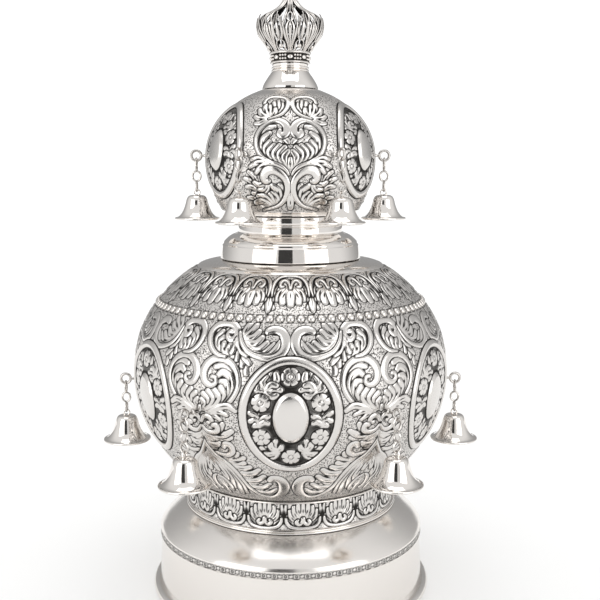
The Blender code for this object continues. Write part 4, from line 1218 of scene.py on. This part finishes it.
# Painted shade: the band behind the jewels is black
paint_shade(circlet_mesh, (heights > STRIP_LOW) & (heights < STRIP_HIGH))
finished("small_crown_circlet", circlet_mesh, "small_crown", cast)
print("cage height", round(float(cage_wall.height[-1] - cage_wall.height[0]), 1), "mm")


# %% Blades on the cage
BLADE_SIDES, LEAST_BLADE = 8, 0.08
# Painted shade: a blade's sides and inner face are painted black; of its eight corners only the three
# on its outer face are kept bright
BLADE_PAINTED_SHADE = (1.0, 0.2, 0.0, 0.2, 1.0, 1.0, 1.0, 1.0)


def on_cage(azimuth, x, z, lift):
    """A seat on the cage, some millimetres aside of an azimuth."""
    r = float(np.interp(z, cage_wall.height, cage_wall.radius))
    return seat(cage_wall, azimuth + math.degrees(x / r), z, lift)


def blade(azimuth, spine, thickness, lift=0.0, tip_lift=0.0):
    """A flattened, tapered wire along (across, height, half width) points on the cage."""
    line = smooth(spine, 4)
    last = len(line) - 1
    places = [on_cage(azimuth, x, z, lift + tip_lift * (i / last) ** 2)
              for i, (x, z, _) in enumerate(line)]
    points = []
    for i, place in enumerate(places):
        normal = place.to_3x3() @ Vector((0, 0, 1))
        along = places[min(i + 1, last)].translation - places[max(i - 1, 0)].translation
        side = along.cross(normal).normalized()
        half = max(float(line[i, 2]), LEAST_BLADE)
        for k in range(BLADE_SIDES):
            a = 2 * math.pi * k / BLADE_SIDES
            points.append(place.translation + side * (half * math.cos(a))
                          + normal * (min(thickness, half) * math.sin(a)))
    faces = grid_faces(len(line), BLADE_SIDES, False)
    faces.append(tuple(range(BLADE_SIDES)))
    faces.append(tuple(reversed(range(last * BLADE_SIDES, (last + 1) * BLADE_SIDES))))
    # Each point also carries its painted shade
    return points, faces, BLADE_PAINTED_SHADE * len(line)


def blade_pair(azimuth, spine, *measures):
    """A blade and its mirror image."""
    return [blade(azimuth, [(side * x, z, w) for x, z, w in spine], *measures)
            for side in (-1, 1)]


RIB_MIDDLE = (
    ((0, 379.0, 0.7), (0, 384, 0.6), (0, 389, 1.0), (0, 393, 1.3), (0, 396.4, 0.5)),
    ((0, 402.6, 0.5), (0, 406.5, 0.8), (0, 410, 0.9), (0, 413.6, 1.0)),
)
RIB_SIDES = (
    ((1.0, 379.2, 0.5), (1.7, 383, 0.6), (3.2, 387.5, 0.9), (4.4, 391.5, 1.0), (4.5, 395.5, 0.9),
     (3.5, 399, 0.8), (2.7, 402, 0.8), (2.0, 404.6, 0.8), (1.5, 408, 0.7), (1.2, 413, 0.6)),
    ((0.6, 381, 0.4), (1.4, 386, 0.6), (2.4, 390.5, 0.8), (2.3, 394, 0.7), (1.3, 396.6, 0.5)),
    ((0.3, 396.8, 0.5), (1.6, 398, 0.6), (1.8, 400, 0.6), (1.2, 402, 0.55), (0.2, 403, 0.5)),
    ((4.4, 392.0, 0.6), (5.9, 395.2, 0.9), (6.3, 398.6, 0.8), (5.6, 401.2, 0.5)),
)
LEAF_SIDE = ((0.8, 385.4, 0.4), (2.3, 388.0, 0.8), (2.9, 391.6, 0.9), (2.3, 395.6, 0.7),
             (0.9, 399.8, 0.4))
LEAF_ARCH = ((1.5, 379.4, 0.5), (2.8, 381.6, 0.6), (2.4, 384.6, 0.5), (0.2, 386.2, 0.5))
LEAF_MIDDLE = ((0, 385.6, 0.5), (0, 389.5, 1.2), (0, 394, 1.1), (0, 398.4, 0.6), (0, 401.6, 0.3))
print("blades ready")


# %% Ribs and leaves
CROWN_RIBS = 8
RIB_TURN = 360 / CROWN_RIBS
LEAF_TIP_LIFT = 2.0


def rib_shapes(azimuth):
    """One palmette rib, mirrored about its middle wire."""
    shapes = [blade(azimuth, spine, 1.0) for spine in RIB_MIDDLE]
    for spine in RIB_SIDES:
        shapes += blade_pair(azimuth, spine, 0.8)
    return shapes


def leaf_shapes(azimuth):
    """The leaf between two ribs, whose tip bends out, over a grain in a small arch."""
    points, faces = moved(ball(1.7, 6, 10, 0.8), on_cage(azimuth, 0, 382.2, 0.5))
    shapes = [blade(azimuth, LEAF_MIDDLE, 0.9, 0.5, LEAF_TIP_LIFT),
              (points, faces, [0.0] * len(points))]
    shapes += blade_pair(azimuth, LEAF_SIDE, 0.8, 0.3, LEAF_TIP_LIFT)
    return shapes + blade_pair(azimuth, LEAF_ARCH, 0.8, 0.3)


crown_shapes = []
for i in range(CROWN_RIBS):
    crown_shapes += rib_shapes(RIB_TURN * i) + leaf_shapes(RIB_TURN * (i + 0.5))
cage_mesh = mesh_of("small_crown_cage", [shape[:2] for shape in crown_shapes], SHARP_CAST)
# Painted shade on the blades' sides and inner faces
paint_shade(cage_mesh, [share for shape in crown_shapes for share in shape[2]])
finished("small_crown_cage", cage_mesh, "small_crown", cast)
print("cage:", len(cage_mesh.polygons), "faces")

# %% Jewelled band, stem and bud
JEWEL_ROW, GRAIN_ROWS, GRAIN_TURN, JEWEL_LIFT = 375.1, (374.0, 376.2), 8.2, 0.1
jewel_wall = Wall([(13.1, 372.8), (13.1, 377.4)], 2)
wide_gem = moved(ball(1.5, 8, 14, 0.7), Matrix.Diagonal((1.25, 1.0, 1.0, 1.0)))
grain = ball(0.85, 6, 10)
jewels = []
for i in range(CROWN_RIBS):
    jewels.append(moved(wide_gem, seat(jewel_wall, RIB_TURN * i, JEWEL_ROW, JEWEL_LIFT)))
    for x in (-1, 0, 1):
        azimuth = RIB_TURN * (i + 0.5) + x * GRAIN_TURN
        for z in GRAIN_ROWS:
            jewels.append(moved(grain, seat(jewel_wall, azimuth, z, JEWEL_LIFT)))
finished("small_crown_jewels", mesh_of("small_crown_jewels", jewels, SHARP_CAST),
         "small_crown", worn)
print("jewels:", len(jewels))
stem_profile = [(0.02, 408.2), (3.4, 408.6), (4.6, 410.2), (4.3, 412.6), (3.4, 415.0),
                (2.4, 418.4), (2.2, 420.0)]
stem_profile += curve([(2.2, 420.4), (3.5, 423.0), (3.3, 425.8), (1.6, 428.2), (0.02, 429.0)], 6)
turned("small_crown_stem", stem_profile, 48, "small_crown", worn, False)

# %% [markdown]
# ## Light and stage
# Polished silver has no look of its own: it shows the studio. The photograph shows two white
# softboxes to the left and right of the camera, a black and a grey card between them, and pale
# walls. The cards are hidden from the camera itself, because only their reflections matter.

# %% Floor and studio walls
MATT = 0.9


def plane(name, width, height, place, rotation, material):
    """A flat card with its own material, kept out of the object."""
    mesh = bpy.data.meshes.new(name)
    x, y = width / 2, height / 2
    mesh.from_pydata([(-x, -y, 0), (x, -y, 0), (x, y, 0), (-x, y, 0)], [], [(0, 1, 2, 3)])
    mesh.materials.append(material)
    card = bpy.data.objects.new(name, mesh)
    card.location = place
    card.rotation_euler = rotation
    bpy.context.scene.collection.objects.link(card)
    return card


def plain(name, colour, glow=0.0):
    """A matt stage material, glowing if it stands for a lit wall."""
    material = bpy.data.materials.new(name)
    material.use_nodes = True
    shader = material.node_tree.nodes["Principled BSDF"]
    shader.inputs["Base Color"].default_value = (*colour, 1)
    shader.inputs["Roughness"].default_value = MATT
    shader.inputs["Specular IOR Level"].default_value = 0.1
    shader.inputs["Emission Color"].default_value = (*colour, 1)
    shader.inputs["Emission Strength"].default_value = glow
    return material


plane("floor", 14, 14, (0, 0, 0), (0, 0, 0), plain("pale_floor", (0.96, 0.96, 0.955)))
CARD_DISTANCE = -1.02
for name, width, x, tone, glow in (("black_card", 0.42, -0.152, 0.022, 1.0),
                                   ("grey_card", 0.33, 0.224, 0.36, 0.9)):
    card = plane(name, width, 0.90, (x, CARD_DISTANCE, 0.46), (math.pi / 2, 0, 0),
                 plain(name, (tone, tone, tone), glow))
    card.visible_camera = False
    card.visible_shadow = False
    card.visible_diffuse = False
print("cards ready")


# %% Lights
def softbox(name, place, aim, width, height, brightness):
    """An area light of a given surface brightness that looks at a point."""
    light = bpy.data.lights.new(name, "AREA")
    light.shape = "RECTANGLE"
    light.size = width
    light.size_y = height
    light.energy = brightness * math.pi * width * height
    lamp = bpy.data.objects.new(name, light)
    lamp.location = place
    lamp.rotation_euler = (Vector(aim) - Vector(place)).to_track_quat("-Z", "Y").to_euler()
    bpy.context.scene.collection.objects.link(lamp)
    lamp.visible_camera = False
    lamp.visible_diffuse = False
    return lamp


MIDDLE = (0, 0, 0.25)
FRONT_BRIGHTNESS, TOP_BRIGHTNESS, ROOM_BRIGHTNESS = 1.18, 1.1, 1.14
TENT_FRONT, TENT_BACK = 0.84, 0.34
for name, x in (("left_softbox", -0.80), ("right_softbox", 0.80)):
    softbox(name, (x, -0.85, 0.45), MIDDLE, 0.85, 1.1, FRONT_BRIGHTNESS)
softbox("top_softbox", (0.0, -0.1, 1.6), MIDDLE, 1.2, 1.0, TOP_BRIGHTNESS)
world = bpy.data.worlds.new("studio")
bpy.context.scene.world = world
world.use_nodes = True
sky = world.node_tree
background = sky.nodes["Background"]
background.inputs["Color"].default_value = (1, 1, 1, 1)
background.inputs["Strength"].default_value = ROOM_BRIGHTNESS
tent = sky.nodes.new("ShaderNodeBackground")
direction = sky.nodes.new("ShaderNodeTexCoord")
split = sky.nodes.new("ShaderNodeSeparateXYZ")
sky.links.new(direction.outputs["Generated"], split.inputs["Vector"])
# Silver mirrors a tent that darkens from the camera's side to the back
shade = ramp_between(sky, split.outputs["Y"], -0.1, 1.0, TENT_FRONT, TENT_BACK)
sky.links.new(shade, tent.inputs["Color"])
path = sky.nodes.new("ShaderNodeLightPath")
mix = sky.nodes.new("ShaderNodeMixShader")
sky.links.new(path.outputs["Is Glossy Ray"], mix.inputs["Fac"])
sky.links.new(background.outputs["Background"], mix.inputs[1])
sky.links.new(tent.outputs["Background"], mix.inputs[2])
sky.links.new(mix.outputs["Shader"], sky.nodes["World Output"].inputs["Surface"])
print("lights ready")
